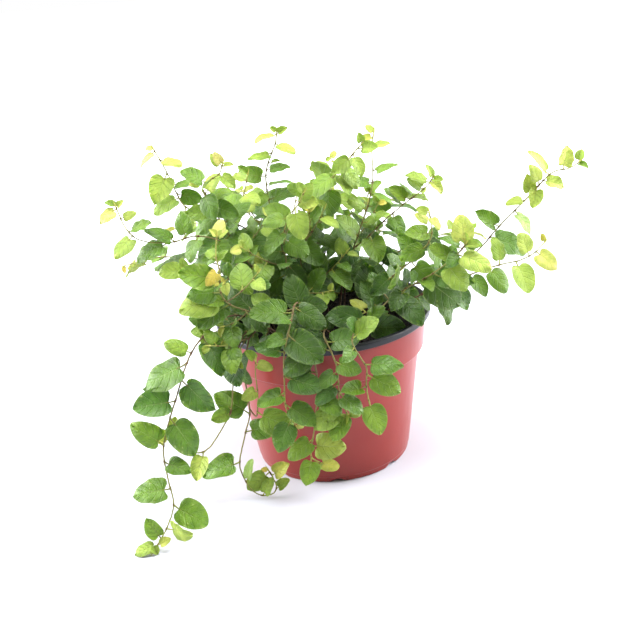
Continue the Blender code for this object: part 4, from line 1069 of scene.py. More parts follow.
@dataclass(frozen=True)
class Palette:
    """Every finish of the plant and its pot."""

    upper: BladeFinish = BladeFinish(
        name="fig leaf, waxy upper side",
        ages=((0.0, "#E8DE82"), (0.05, "#DCDB74"), (0.13, "#C2CC5C"), (0.27, "#9FB546"), (0.45, "#85A32F"),
              (0.65, "#6A8F1F"), (0.84, "#567C18"), (1.0, "#466912")),
        vein="#A9BE70", midrib_share=0.34, vein_share=0.05, net_share=0.02, shade="#8FA07A",
        shade_share=0.4, blue_green_tone_and_sheen="#4C803F", blue_green_tone_and_sheen_share=0.35, roughness=0.38, gloss=0.4, glow=0.2,
        relief=Relief.SUNKEN)
    under: BladeFinish = BladeFinish(
        name="fig leaf, matt under side",
        ages=((0.0, "#D6CC6C"), (0.12, "#C2C85E"), (0.4, "#9DB254"), (0.7, "#7E9A56"), (1.0, "#68854F")),
        vein="#B4C48C", midrib_share=0.7, vein_share=0.4, net_share=0.2, shade="#B0B890", shade_share=0.4,
        blue_green_tone_and_sheen="#86A27A", blue_green_tone_and_sheen_share=0.4, roughness=0.6, gloss=0.25, glow=0.2, relief=Relief.RAISED)
    stalk: StemFinish = StemFinish(
        name="leaf stalk, smooth and green",
        ages=((0.0, "#C2C25A"), (0.35, "#A3AC46"), (0.75, "#8A9440"), (1.0, "#7E763E")),
        roughness=0.5, knot="#8A5E38", grain=0.8, depth=0.03)
    bark: StemFinish = StemFinish(
        name="young fig bark, thin and cracked",
        ages=((0.0, "#A3A84C"), (0.25, "#92924A"), (0.55, "#7F7843"), (0.8, "#6A5539"), (1.0, "#523B2B")),
        roughness=0.62, knot="#5A2A1B")
    wall: PotFinish = PotFinish(
        name="terracotta red polypropylene, thermoformed",
        colour="#8A2D26", worn="#94382F", dusty="#4F3028", roughness=0.28, gloss=0.34)
    lining: PotFinish = PotFinish(
        name="black polypropylene, thermoformed",
        colour="#101215", worn="#1D2024", dusty="#332C27", roughness=0.3, gloss=0.34)
    peat: PeatFinish = PeatFinish()


# Meshes


def add_object(name: str, shown: ID) -> Object:
    """A new object of the scene.

    Args:
        name: Its name.
        shown: The mesh, lamp or lens that it shows.

    Returns:
        The object.
    """
    thing = bpy.data.objects.new(name, shown)
    bpy.context.scene.collection.objects.link(thing)
    return thing


def ring_faces(rings: int, sides: int, first: int = 0) -> list[Face]:
    """The faces between closed rings of points.

    Args:
        rings: How many rings there are.
        sides: How many points each has.
        first: The number of the first ring's first point.

    Returns:
        The faces, ring by ring.
    """
    faces = []
    for ring in range(rings - 1):
        for side in range(sides):
            here, beside = first + ring * sides + side, first + ring * sides + (side + 1) % sides
            faces.append((here, beside, beside + sides, here + sides))
    return faces


def tube(centres: list[Vector], radii: list[float], sides: int) -> tuple[np.ndarray, list[Face]]:
    """A closed tube through the centres.

    Args:
        centres: Its middle line.
        radii: Its radius at each.
        sides: How many sides it has.

    Returns:
        Points and faces.
    """
    rings = []
    normal = (centres[1] - centres[0]).orthogonal().normalized()
    turns = [math.tau * side / sides for side in range(sides)]
    for index, centre in enumerate(centres):
        ahead = (centres[min(index + 1, len(centres) - 1)] - centres[max(index - 1, 0)]).normalized()
        normal = (normal - ahead * normal.dot(ahead)).normalized()
        across = ahead.cross(normal)
        rings += [centre + (normal * math.cos(turn) + across * math.sin(turn)) * radii[index]
                  for turn in turns]
    faces = ring_faces(len(centres), sides)
    faces += [tuple(reversed(range(sides))), tuple(range(len(rings) - sides, len(rings)))]
    return np.array([point[:] for point in rings]), faces


@dataclass
class Mould:
    """Gathers points, faces, finishes and leaf data, and makes one object of them."""

    points: list[np.ndarray] = field(default_factory=list)
    blades: list[np.ndarray] = field(default_factory=list)
    tints: list[np.ndarray] = field(default_factory=list)
    faces: list[Face] = field(default_factory=list)
    finishes: list[int] = field(default_factory=list)
    count: int = 0

    def add(self, points: np.ndarray, faces: list[Face], finish: int | list[int],
            blade: np.ndarray | None = None, tint: float = 0.5) -> None:
        """Adds one form.

        Args:
            points: Its points in millimetres.
            faces: Its faces.
            finish: The number of its finish, or one for each face.
            blade: Place across, place among the veins and age, for each point.
            tint: The form's own number.
        """
        self.points.append(points)
        self.blades.append(np.zeros((len(points), 3)) if blade is None else blade)
        self.tints.append(np.full(len(points), tint))
        self.faces += [tuple(self.count + corner for corner in face) for face in faces]
        self.finishes += [finish] * len(faces) if isinstance(finish, int) else finish
        self.count += len(points)

    def cast(self, name: str, materials: list[Material],
             crease: float = 50.0) -> Object:
        """Makes the object.

        Args:
            name: Its name.
            materials: Its finishes in their order.
            crease: Edges sharper than this many degrees show as edges.

        Returns:
            The object.
        """
        mesh = bpy.data.meshes.new(name)
        mesh.from_pydata((np.concatenate(self.points) * MM).tolist(), [], self.faces)
        for material in materials:
            mesh.materials.append(material)
        mesh.polygons.foreach_set("material_index", self.finishes)
        for label, kind, slot, rows in (("blade", "FLOAT_VECTOR", "vector", self.blades),
                                        ("tint", "FLOAT", "value", self.tints)):
            values = np.concatenate(rows).astype(np.float32).ravel()
            mesh.attributes.new(label, kind, "POINT").data.foreach_set(slot, values)
        mesh.update()
        mesh.shade_smooth()
        mesh.set_sharp_from_angle(angle=math.radians(crease))
        return add_object(name, mesh)


@dataclass(frozen=True)
class Margin:
    """The heart-shaped margin of one blade, for a length and a width of 1."""

    lobe: float
    point: float
    skew: float
    taper: float
    breadth: float
    lobe_taper: float = 0.86
    point_start: float = 0.72

    def at(self, phase: float) -> tuple[float, float]:
        """A point of the right half of the margin.

        Args:
            phase: 0 in the notch at the stalk, 1 at the tip.

        Returns:
            The point's place across and along the blade.
        """
        angle = math.pi * phase
        drop = self.lobe * math.sin(angle) * (1 - phase) ** 2
        point = self.point * max(0.0, (phase - self.point_start) / (1 - self.point_start)) ** 2
        along = (0.5 * (1 - math.cos(angle)) - drop + point) / (1 + self.point)
        taper = self.lobe_taper + (self.taper - self.lobe_taper) * phase ** 1.6
        return 0.5 * math.sin(angle) ** taper * (1 + self.breadth * math.cos(angle)), along


class Skin(IntEnum):
    """Where each of a shoot's finishes stands in the list of its materials."""

    UPPER = 0
    UNDER = 1
    STALK = 2
    BARK = 3


@dataclass(kw_only=True)
class Foliage(Mould):
    """Dresses a shoot: fine blades whose rows of points follow the veins, stalks, bark and roots.
    Lengths are in millimetres. A pair holds the least and the most of what differs between leaves,
    as a share of the blade's length or width where it isn't an angle."""

    shoot: Shoot
    # Each row of a blade's points starts on the midrib and arches to the margin, as a side vein
    # does: where it starts along the blade, and the phase of the margin where it ends
    vein_rows: tuple[Span, ...] = (
        (0.0, 0.03), (0.003, 0.12), (0.006, 0.22), (0.012, 0.31), (0.02, 0.40), (0.10, 0.475), (0.19, 0.55),
        (0.29, 0.62), (0.39, 0.685), (0.50, 0.745), (0.61, 0.80), (0.73, 0.86), (0.86, 0.93))
    half_columns: tuple[float, ...] = (0.0, 0.15, 0.35, 0.57, 0.80, 1.0)
    lobe: Span = (0.22, 0.55)
    point: Span = (0.0, 0.05)
    skew: Span = (-0.08, 0.08)
    taper: Span = (0.95, 1.55)
    breadth: Span = (0.08, 0.26)
    growth: float = 1.05
    slim: Span = (0.86, 1.06)
    vein_arch: float = 1.3
    puff: float = 0.026
    puff_roundness: float = 0.7
    new_puff: float = 0.35
    curl: Span = (-0.13, 0.07)
    waves: Span = (1.2, 2.8)
    wave_height: Span = (0.008, 0.045)
    wave_shift: float = 0.8
    nod: Span = (-0.1, 0.9)
    nod_start: float = 0.55
    twist: Span = (-0.2, 0.2)
    fold_rounding: float = 0.06
    midrib_groove: float = 0.006
    tip_drop: float = 0.12
    tip_thickness: float = 0.16
    blade_thickness: float = 0.34
    vein_thickness: float = 0.10
    # The midrib of a blade of the usual length, and the share of it that is left at the tip
    midrib_thickness: float = 0.42
    midrib_end: float = 0.15
    usual_length: float = 16.0
    stem_sides: int = 8
    stalk_sides: int = 6
    stalk_rings: int = 7
    stalk_sag: float = 0.22
    stalk_radius: float = 0.24
    stalk_growth: float = 0.010
    # A stalk's radius where it leaves the stem, and what it loses on its way, as shares
    stalk_foot: float = 1.25
    stalk_taper: float = 0.5
    # How far a stalk runs into its blade, as a share of the length, and how deep it lies
    stalk_reach: float = 0.08
    stalk_depth: float = 0.1
    ring_spacing: float = 1.6
    least_rings: int = 4
    stem_ageing: float = 1.3
    stem_wander: float = 0.10
    node_swell: float = 0.62
    node_length: float = 1.0
    stem_taper: float = 0.42
    sunk: float = 10.0
    roots: tuple[int, int] = (2, 4)
    root_length: Span = (1.3, 2.8)
    root_spread: Span = (-1.6, 1.6)
    root_radii: Point = (0.17, 0.13, 0.05)
    root_age: float = 0.55
    root_sides: int = 4
    # How far roots point down and away from the leaf's face, and where they bend
    root_way: Span = (0.5, 0.6)
    root_bend: float = 0.55
    # How far the way of a leaf's roots, the way of each root and its bend wander
    root_wander: Point = (0.3, 0.6, 0.25)
    rootless_age: float = 0.3
    rootless_share: float = 0.45
    # The sheath over a growing end: places along the stem with their radii
    bud: tuple[Span, ...] = ((-0.6, 0.42), (0.0, 0.5), (0.9, 0.52), (2.0, 0.36), (3.2, 0.14), (3.9, 0.03))
    bud_age: float = 0.05
    tip_pitch: float = 1.1
    tip_span: Span = (4.5, 8.0)
    tip_age: Span = (0.05, 0.42)
    tip_fold: float = 0.55
    # How far the leaves at the tip point ahead, face the sky, and wander in both
    tip_ahead: Span = (0.5, 0.9)
    tip_sky: float = 0.6
    tip_wander: Span = (0.4, 0.5)
    looseness: float = 0.5
    # The small leaves between the large ones: how far apart, how large and old, and the part of
    # the crown that has them, as a radius round the pot's middle and a span of heights
    small_spacing: float = 22.0
    small_places: Span = (0.2, 0.9)
    small_span: Span = (8.0, 12.5)
    small_age: Span = (0.45, 0.85)
    small_radius: float = 88.0
    small_height: Span = (100.0, 155.0)
    small_ahead: Span = (0.2, 0.8)
    # How far they face the viewer and the sky, and how far that wanders
    small_facing: Span = (0.5, 0.7)
    small_wander: float = 0.4
    # How far apart the seeded numbers of two shoots, and of their tips and small leaves, start
    shoot_seeds: int = 31
    small_seeds: int = 5000
    # The share of a stem from which its leaves still have a young leaf's colour, and how young
    young_from: dict[str, float] = field(default_factory=lambda: {"shoot_right_long": 0.68})
    young_share: float = 0.45
    floor_gap: float = 0.15

    def __post_init__(self) -> None:
        """Sets the seeded numbers, and works out the pattern that every blade shares: an upper
        and an under grid of faces, a margin and a tip."""
        self.draw = random.Random(SEED + 7 * self.shoot.number)
        halves = self.half_columns
        self.across = np.array([-place for place in halves[:0:-1]] + list(halves))
        self.middle = len(halves) - 1
        rows, columns = len(self.vein_rows), len(self.across)
        size = rows * columns + 1
        upper = [(row * columns + column, row * columns + column + 1, (row + 1) * columns + column + 1,
                  (row + 1) * columns + column) for row in range(rows - 1) for column in range(columns - 1)]
        last = (rows - 1) * columns
        upper += [(last + column, last + column + 1, size - 1) for column in range(columns - 1)]
        under = [tuple(size + corner for corner in reversed(face)) for face in upper]
        rim = list(range(columns - 1, -1, -1))
        rim += [row * columns for row in range(1, rows)] + [size - 1]
        rim += [row * columns + columns - 1 for row in range(rows - 1, 0, -1)]
        margin = [(here, size + here, size + ahead, ahead) for here, ahead in zip(rim, rim[1:] + rim[:1])]
        self.blade_faces = upper + under + [face[::-1] for face in margin]
        self.blade_skins = [Skin.UPPER] * len(upper) + [Skin.UNDER] * (len(under) + len(margin))

    def add_blade(self, leaf: Leaf) -> None:
        """Adds one blade.

        Args:
            leaf: Where it stands.
        """
        length, rows = leaf.length * self.growth, len(self.vein_rows)
        width = leaf.width * self.growth * self.draw.uniform(*self.slim)
        margin = Margin(*(self.draw.uniform(*span) for span in (self.lobe, self.point, self.skew, self.taper,
                                                                self.breadth)))
        edge = np.array([margin.at(phase) for _, phase in self.vein_rows])
        start = np.array([place for place, _ in self.vein_rows])[:, None]
        share = np.abs(self.across)[None, :]
        lean = 1 + margin.skew * np.sign(self.across)[None, :]
        across = edge[:, :1] * self.across[None, :] * width * lean
        along = (start + (edge[:, 1:] - start) * share ** self.vein_arch) * length
        row = np.arange(rows)[:, None]
        puff = self.puff * length * (self.new_puff + (1 - self.new_puff) * leaf.age)
        swell = -puff * 0.5 * (1 + np.cos(math.pi * row)) * np.sin(math.pi * share) ** self.puff_roundness
        curl = self.draw.uniform(*self.curl) * length * share ** 3
        turn = self.draw.uniform(*self.waves) * math.tau / length
        wave = self.draw.uniform(*self.wave_height) * length * share ** 2 * np.sin(
            turn * along + self.draw.uniform(0, math.tau) + self.wave_shift * np.sign(self.across))
        nod = -self.draw.uniform(*self.nod) * length * np.clip(along / length - self.nod_start, 0, 1) ** 2
        twist = self.draw.uniform(*self.twist) * across * along / length
        rounding = self.fold_rounding * width
        crease = leaf.fold * (np.sqrt(across ** 2 + rounding ** 2) - rounding)
        lift = crease - leaf.droop * along * np.abs(along) / length + swell + curl + wave + nod + twist
        lift[:, self.middle] -= self.midrib_groove * length
        tip_slope = 2 * leaf.droop + self.tip_drop
        tip_lift = lift[-1, self.middle] - tip_slope * (length - along[-1, self.middle])
        thick = self.blade_thickness * (1 - 0.5 * share ** 2)
        thick = thick + self.vein_thickness * (1 + np.cos(math.pi * row)) / 2 * (1 - share)
        midrib = self.midrib_thickness * np.linspace(1, self.midrib_end, rows)
        thick[:, self.middle] += midrib * length / self.usual_length
        flat = np.append(across.ravel(), 0.0)[:, None] * np.array(leaf.side[:])
        flat = flat + np.append(along.ravel(), length)[:, None] * np.array(leaf.axis[:])
        normal = np.array(leaf.normal[:])
        heights = np.append(lift.ravel(), tip_lift) + 0.5 * self.blade_thickness
        upper = np.array(leaf.base[:]) + flat + heights[:, None] * normal
        under = upper - np.append(thick.ravel(), self.tip_thickness)[:, None] * normal
        sunk = max(0.0, self.floor_gap - min(upper[:, 2].min(), under[:, 2].min()))
        upper[:, 2] += sunk
        under[:, 2] += sunk
        places = np.stack([np.broadcast_to(self.across, across.shape).ravel(),
                           np.broadcast_to(row / 2, across.shape).ravel(),
                           np.full(across.size, leaf.age)], axis=1)
        places = np.vstack([places, [0.0, rows / 2, leaf.age]])
        self.add(np.vstack([upper, under]), self.blade_faces, self.blade_skins,
                 np.vstack([places, places]), self.draw.random())

    def add_stalk(self, leaf: Leaf) -> None:
        """Adds a leaf's stalk, from inside its stem to inside its midrib.

        Args:
            leaf: The leaf.
        """
        span = leaf.base - leaf.root
        end = leaf.base + leaf.axis * self.stalk_reach * leaf.length - leaf.normal * self.stalk_depth
        radius = self.stalk_radius + self.stalk_growth * leaf.length / GROWTH.blade_share
        centres, radii = [], []
        for step in range(self.stalk_rings):
            share = step / (self.stalk_rings - 1)
            sag = SKY * (-self.stalk_sag * share * (1 - share)) * span.length
            centres.append(leaf.root.lerp(end, share) + sag)
            radii.append(radius * (self.stalk_foot - self.stalk_taper * share))
        points, faces = tube(centres, radii, self.stalk_sides)
        self.add_aged(points, faces, Skin.STALK, leaf.age)

    def add_aged(self, points: np.ndarray, faces: list[Face], finish: int, age: float | np.ndarray,
                 knot: float | np.ndarray = 0.0) -> None:
        """Adds a form that is coloured by its age.

        Args:
            points: Its points.
            faces: Its faces.
            finish: The number of its finish.
            age: Its age, or one for each point.
            knot: How near it is to a leaf's scar, from 0 to 1, or one for each point.
        """
        blade = np.zeros((len(points), 3))
        blade[:, 1], blade[:, 2] = knot, age
        points[:, 2] = np.maximum(points[:, 2], self.floor_gap)
        self.add(points, faces, finish, blade)

    def add_stem(self, stem: Stem, first: bool) -> None:
        """Adds a stem, a little swollen at each leaf, with its bud and short roots.

        Args:
            stem: The stem.
            first: True for the one that stands in the soil.
        """
        route = stem.route
        count = max(self.least_rings, round(route.length / self.ring_spacing))
        nodes = np.array([share for share, _ in stem.leaves]) * route.length
        centres, radii, ages, knots = [], [], [], []
        for ring in range(count + 1):
            share = ring / count
            near = np.exp(-((nodes - share * route.length) / self.node_length) ** 2).sum()
            radius = stem.radius * (1 - self.stem_taper * share)
            centres.append(route.at(share) + wander(self.draw, self.stem_wander))
            knots.append(min(near, 1.0))
            radii.append(radius * (1 + self.node_swell * knots[-1]))
            ages.append(stem.oldest * (1 - share ** self.stem_ageing))
        if first:
            below = centres[0] - SKY * self.sunk
            for line, value in ((centres, below), (radii, stem.radius), (ages, stem.oldest), (knots, 0.0)):
                line.insert(0, value)
        points, faces = tube(centres, radii, self.stem_sides)
        self.add_aged(points, faces, Skin.BARK, np.repeat(ages, self.stem_sides),
                      np.repeat(knots, self.stem_sides))
        self.add_bud(route)
        self.add_roots(stem)

    def add_bud(self, route: Route) -> None:
        """Adds the pointed sheath over a stem's growing end.

        Args:
            route: The stem's line.
        """
        tip, ahead = route.at(1.0), route.along(1.0)
        centres = [tip + ahead * place for place, _ in self.bud]
        points, faces = tube(centres, [radius for _, radius in self.bud], self.stalk_sides)
        self.add_aged(points, faces, Skin.STALK, self.bud_age)

    def add_roots(self, stem: Stem) -> None:
        """Adds the short clinging roots that stand below some of the leaves.

        Args:
            stem: The stem.
        """
        down, back = self.root_way
        common, single, bend = self.root_wander
        for share, leaf in stem.leaves:
            if leaf.age < self.rootless_age or self.draw.random() < self.rootless_share:
                continue
            root, ahead = stem.route.at(share), stem.route.along(share)
            away = (-SKY * down - leaf.normal * back + wander(self.draw, common)).normalized()
            away = (away - ahead * away.dot(ahead)).normalized()
            for _ in range(self.draw.randint(*self.roots)):
                start = root + ahead * self.draw.uniform(*self.root_spread)
                way = (away + wander(self.draw, single)).normalized()
                way *= self.draw.uniform(*self.root_length)
                mid = start + way * self.root_bend + wander(self.draw, bend)
                points, faces = tube([start, mid, start + way], list(self.root_radii), self.root_sides)
                self.add_aged(points, faces, Skin.BARK, self.root_age)

    def tip_leaves(self, stem: Stem, seed: int) -> list[Leaf]:
        """The leaves of a few millimetres that unfold at a stem's end.

        Args:
            stem: The stem.
            seed: The start of the seeded numbers.

        Returns:
            One or two leaves.
        """
        draw = random.Random(seed)
        leaves = []
        for index in range(draw.randint(1, 2)):
            share = 1.0 - index * self.tip_pitch / stem.route.length
            ahead = stem.route.along(1.0)
            aside = ahead.cross(TOWARDS + wander(draw, self.tip_wander[0])).normalized()
            aside *= 1 if index else -1
            facing = TOWARDS + SKY * self.tip_sky + wander(draw, self.tip_wander[1])
            wish = Wish(share, ahead * draw.uniform(*self.tip_ahead) + aside, facing,
                        draw.uniform(*self.tip_span), draw.uniform(*self.tip_age))
            leaf = stand_leaf(stem.route.at(share), wish, draw, self.looseness)
            leaves.append(replace(leaf, fold=self.tip_fold))
        return leaves

    def small_leaves(self, stem: Stem, seed: int) -> list[Leaf]:
        """The small leaves that fill the crown between a stem's large ones.

        Args:
            stem: The stem.
            seed: The start of the seeded numbers.

        Returns:
            The leaves.
        """
        draw = random.Random(seed)
        viewer, sky = self.small_facing
        low, high = self.small_height
        leaves = []
        for _ in range(round(stem.route.length / self.small_spacing)):
            share = draw.uniform(*self.small_places)
            root, ahead = stem.route.at(share), stem.route.along(share)
            level = Vector((root.x, root.y, 0.0))
            aside = ahead.cross(wander(draw, 1.0)).normalized()
            facing = (level / self.small_radius + TOWARDS * viewer + SKY * sky
                      + wander(draw, self.small_wander))
            wish = Wish(share, ahead * draw.uniform(*self.small_ahead) + aside, facing,
                        draw.uniform(*self.small_span), draw.uniform(*self.small_age))
            leaf = stand_leaf(root, wish, draw, self.looseness)
            if level.length < self.small_radius and low < root.z < high:
                leaves.append(leaf)
        return leaves

    def build(self, materials: list[Material]) -> Object:
        """Makes the finished shoot.

        Args:
            materials: The finishes, in the order of the skins.

        Returns:
            The piece.
        """
        number, young = self.shoot.number, self.young_from.get(self.shoot.name, 1.0)
        for index, stem in enumerate(self.shoot.stems):
            self.add_stem(stem, index == 0)
            grown = [replace(leaf, age=leaf.age * self.young_share) if share > young else leaf
                     for share, leaf in stem.leaves]
            seed = SEED + self.shoot_seeds * number + index
            added = self.tip_leaves(stem, seed) + self.small_leaves(stem, seed + self.small_seeds)
            for leaf in grown + added:
                self.add_blade(leaf)
                self.add_stalk(leaf)
        return self.cast(self.shoot.name.replace("shoot", "foliage"), materials)


class PotSkin(IntEnum):
    """Where each of the pot's finishes stands in the list of its materials."""

    WALL = 0
    LINING = 1


@dataclass
class Pot(Mould):
    """The thermoformed pot, turned from its section in millimetres."""

    rim_radius: float = 70.0
    height: float = 101.0
    lip_height: float = 4.5
    lip_width: float = 3.0
    collar_top: float = 66.6
    collar_foot: float = 64.6
    step_height: float = 73.6
    step_depth: float = 1.2
    wall_top: float = 61.4
    foot_radius: float = 51.7
    foot_bend: float = 4.0
    sheet: float = 1.0
    pad_radius: float = 18.0
    channel_start: float = 22.0
    channel_end: float = 48.5
    channel_rise: float = 1.8
    channel_angle: float = 11.25
    # How deep a channel would be in its middle if its floor weren't flat, and how steep its sides are
    channel_sides: Span = (1.6, 3.2)
    underside: float = 1.2
    channels: int = 8
    sides: int = 160
    crease: float = 60.0

    def section(self) -> list[tuple[float, float, PotSkin]]:
        """The sheet's section from the middle of the underside round the lip to the inside, as
        radius, height and finish. Each corner is given with its rounding and turned to an arc."""
        lip_foot = self.height - self.lip_height
        collar = self.step_height + self.step_depth
        floor = self.channel_rise + self.sheet
        line = rounded([
            (0, 0, 0), (self.pad_radius, 0, 0), (self.channel_start, 0, 0), (self.channel_end, 0, 0),
            (self.foot_radius - 0.8, 0.3, 0.6), (self.foot_radius - 0.35, self.foot_bend - 0.5, 0.25),
            (self.foot_radius + 0.15, self.foot_bend + 0.3, 0.3),
            (self.wall_top, self.step_height - 0.4, 0.7),
            (self.collar_foot, collar, 1.0), (self.collar_top, lip_foot, 0.5),
            (self.rim_radius, lip_foot - 0.1, 1.5), (self.rim_radius, self.height, 1.9),
            (self.rim_radius - self.lip_width, self.height, 1.3),
            (self.collar_top - self.sheet, lip_foot, 0.8), (self.collar_foot - self.sheet, collar + 0.6, 0.6),
            (self.wall_top - self.sheet, self.step_height - 0.8, 0.6),
            (self.foot_radius - self.sheet, self.foot_bend + self.sheet, 1.0),
            (self.channel_end, floor, 0), (0, floor, 0)])
        edge = next(index for index, (radius, height) in enumerate(line)
                    if height > lip_foot - 0.6 and radius > self.collar_top - 0.4)
        return [(radius, height, PotSkin.LINING if index >= edge else PotSkin.WALL)
                for index, (radius, height) in enumerate(line)]

    def in_channel(self, angle: float) -> float:
        """How deep in one of the foot's drainage channels a direction lies.

        Args:
            angle: The direction.

        Returns:
            The depth, from 0 to 1.
        """
        pitch = math.tau / self.channels
        off = abs((angle + pitch / 2) % pitch - pitch / 2) / math.radians(self.channel_angle)
        depth, slope = self.channel_sides
        share = min(max(depth - off * slope, 0.0), 1.0)
        return share * share * (3 - 2 * share)

    def build(self, materials: list[Material]) -> Object:
        """Makes the pot.

        Args:
            materials: The wall's finish and the lining's.

        Returns:
            The piece.
        """
        section = self.section()
        rings = section[1:-1]
        points = []
        for radius, height, _ in rings:
            grooved = height < self.underside and radius > self.channel_start - 1
            for turn in (math.tau * side / self.sides for side in range(self.sides)):
                rise = self.channel_rise * self.in_channel(turn) if grooved else 0.0
                points.append((radius * math.cos(turn), radius * math.sin(turn), height + rise))
        faces = ring_faces(len(rings), self.sides)
        finishes = [finish for _, _, finish in rings[:-1] for _ in range(self.sides)]
        for first, pole, way in ((0, section[0], -1), (len(points) - self.sides, section[-1], 1)):
            points.append((0.0, 0.0, pole[1]))
            for side in range(self.sides):
                pair = (first + side, first + (side + 1) % self.sides)[::way]
                faces.append((*pair, len(points) - 1))
            finishes += [pole[2]] * self.sides
        self.add(np.array(points), faces, finishes)
        return self.cast("pot_thermoformed", materials, self.crease)


def rounded(corners: list[Point], steps: int = 4, most: float = 0.45) -> list[Span]:
    """A line through corners, each rounded by its own radius.

    Args:
        corners: Each corner's radius from the axis, height and rounding.
        steps: How many straight pieces an arc has.
        most: The share of a straight stretch that an arc may take at the most.

    Returns:
        The line's points.
    """
    line = []
    for index, (x, y, rounding) in enumerate(corners):
        if rounding == 0:
            line.append((x, y))
            continue
        here = Vector((x, y))
        before, after = (Vector(corners[index + step][:2]) - here for step in (-1, 1))
        reach = min(rounding, most * before.length, most * after.length)
        start, end = here + before.normalized() * reach, here + after.normalized() * reach
        for step in range(steps + 1):
            share = step / steps
            line.append(tuple(start * (1 - share) ** 2 + here * 2 * share * (1 - share) + end * share ** 2))
    return line


@dataclass
class Soil(Mould):
    """The potting soil: a lumpy top with crumbs and fibres, above plain sides that the pot hides."""

    top: float = 88.0
    radius: float = 63.3
    # How high the lumps of each size stand, how wide they are, and where their pattern is read
    lumps: tuple[Point, ...] = ((1.6, 16.0, SEED), (0.9, 3.2, 40.0), (0.5, 1.3, 90.0))
    # Radius and height of the hidden sides, from under the top down to the bottom
    sides: tuple[Span, ...] = ((63.0, 78.5), (62.9, 76.4), (59.8, 73.4), (49.3, 6.0), (47.8, 3.2))
    rings: int = 46
    sectors: int = 150
    level_edge: float = 3.0
    crumbs: int = 1500
    crumb_size: float = 0.35
    crumb_growth: float = 1.3
    # The higher this is, the fewer of the crumbs are large
    crumb_rarity: float = 2.6
    crumb_edge: float = 2.0
    crumb_rise: float = 0.25
    crumb_sides: tuple[Span, ...] = ((0.7, 1.4), (0.6, 1.1), (0.5, 0.9))
    crumb_roughness: Span = (0.75, 1.15)
    fibres: int = 160
    fibre_edge: float = 6.0
    fibre_bend: Span = (-0.9, 0.9)
    fibre_turn: float = 0.4
    fibre_lift: Span = (0.0, 0.5)
    # A fibre's radius along it, as a share of its own
    fibre_taper: tuple[float, ...] = (0.5, 1.0, 1.0, 1.0, 0.4)
    fibre_sides: int = 4
    fibre_step: Span = (0.9, 2.0)
    fibre_radius: Span = (0.10, 0.28)
    crease: float = 40.0

    def height(self, x: float, y: float) -> float:
        """The height of the lumpy top, which is even at the pot's wall.

        Args:
            x: The place from left to right.
            y: The place from front to back.

        Returns:
            The height.
        """
        coarse, fine, finest = (rise * noise.noise(Vector((x, y, place)) / width)
                                for rise, width, place in self.lumps)
        edge = min(1.0, max(0.0, (self.radius - math.hypot(x, y)) / self.level_edge))
        return self.top + coarse * edge + (fine + finest) * edge

    def add_bed(self) -> None:
        """Adds the soil's body."""
        points = [(0.0, 0.0, self.height(0.0, 0.0))]
        tops = [(self.radius * ((ring + 1) / self.rings), None) for ring in range(self.rings)]
        for radius, level in tops + list(self.sides):
            for turn in (math.tau * sector / self.sectors for sector in range(self.sectors)):
                x, y = radius * math.cos(turn), radius * math.sin(turn)
                points.append((x, y, self.height(x, y) if level is None else level))
        faces = [(0, 1 + sector, 1 + (sector + 1) % self.sectors) for sector in range(self.sectors)]
        faces += [face[::-1] for face in ring_faces(self.rings + len(self.sides), self.sectors, 1)]
        faces.append(tuple(range(len(points) - 1, len(points) - 1 - self.sectors, -1)))
        self.add(np.array(points), faces, 0)

    def add_crumbs(self) -> None:
        """Scatters crumbs of peat and bark, half sunk in the top."""
        draw = random.Random(SEED + 5)
        shape = [Vector(corner).normalized() for corner in itertools.product((-1, 1), repeat=3)]
        sides = [(0, 1, 3, 2), (4, 6, 7, 5), (0, 4, 5, 1), (2, 3, 7, 6), (0, 2, 6, 4), (1, 5, 7, 3)]
        for _ in range(self.crumbs):
            reach = (self.radius - self.crumb_edge) * math.sqrt(draw.random())
            turn = draw.uniform(0, math.tau)
            x, y = reach * math.cos(turn), reach * math.sin(turn)
            size = self.crumb_size + self.crumb_growth * draw.random() ** self.crumb_rarity
            axis = Vector((draw.uniform(-1, 1), draw.uniform(-1, 1), 1))
            spin = Matrix.Rotation(draw.uniform(0, math.tau), 3, axis)
            squash = Vector([draw.uniform(*span) for span in self.crumb_sides])
            centre = Vector((x, y, self.height(x, y) + self.crumb_rise * size))
            points = [centre + spin @ (corner * draw.uniform(*self.crumb_roughness) * squash) * size
                      for corner in shape]
            self.add(np.array([point[:] for point in points]), sides, 0)

    def add_fibres(self) -> None:
        """Lays short fibres on the top."""
        draw = random.Random(SEED + 6)
        for _ in range(self.fibres):
            reach = (self.radius - self.fibre_edge) * math.sqrt(draw.random())
            turn, way = draw.uniform(0, math.tau), draw.uniform(0, math.tau)
            bend = draw.uniform(*self.fibre_bend)
            x, y = reach * math.cos(turn), reach * math.sin(turn)
            step, centres = draw.uniform(*self.fibre_step), []
            for _ in self.fibre_taper:
                centres.append(Vector((x, y, self.height(x, y) + draw.uniform(*self.fibre_lift))))
                x, y = x + step * math.cos(way), y + step * math.sin(way)
                way += bend * self.fibre_turn
            thick = draw.uniform(*self.fibre_radius)
            points, faces = tube(centres, [thick * part for part in self.fibre_taper], self.fibre_sides)
            self.add(points, faces, 0)

    def build(self, materials: list[Material]) -> Object:
        """Makes the soil.

        Args:
            materials: Its one finish.

        Returns:
            The piece.
        """
        self.add_bed()
        self.add_crumbs()
        self.add_fibres()
        return self.cast("soil_peat", materials, self.crease)


@dataclass(frozen=True)
class Lamp:
    """A soft square lamp: its name, where it hangs, the length of its side and its watts."""

    name: str
    place: Point
    size: float
    power: float
    colour: str = "#FFFFFF"


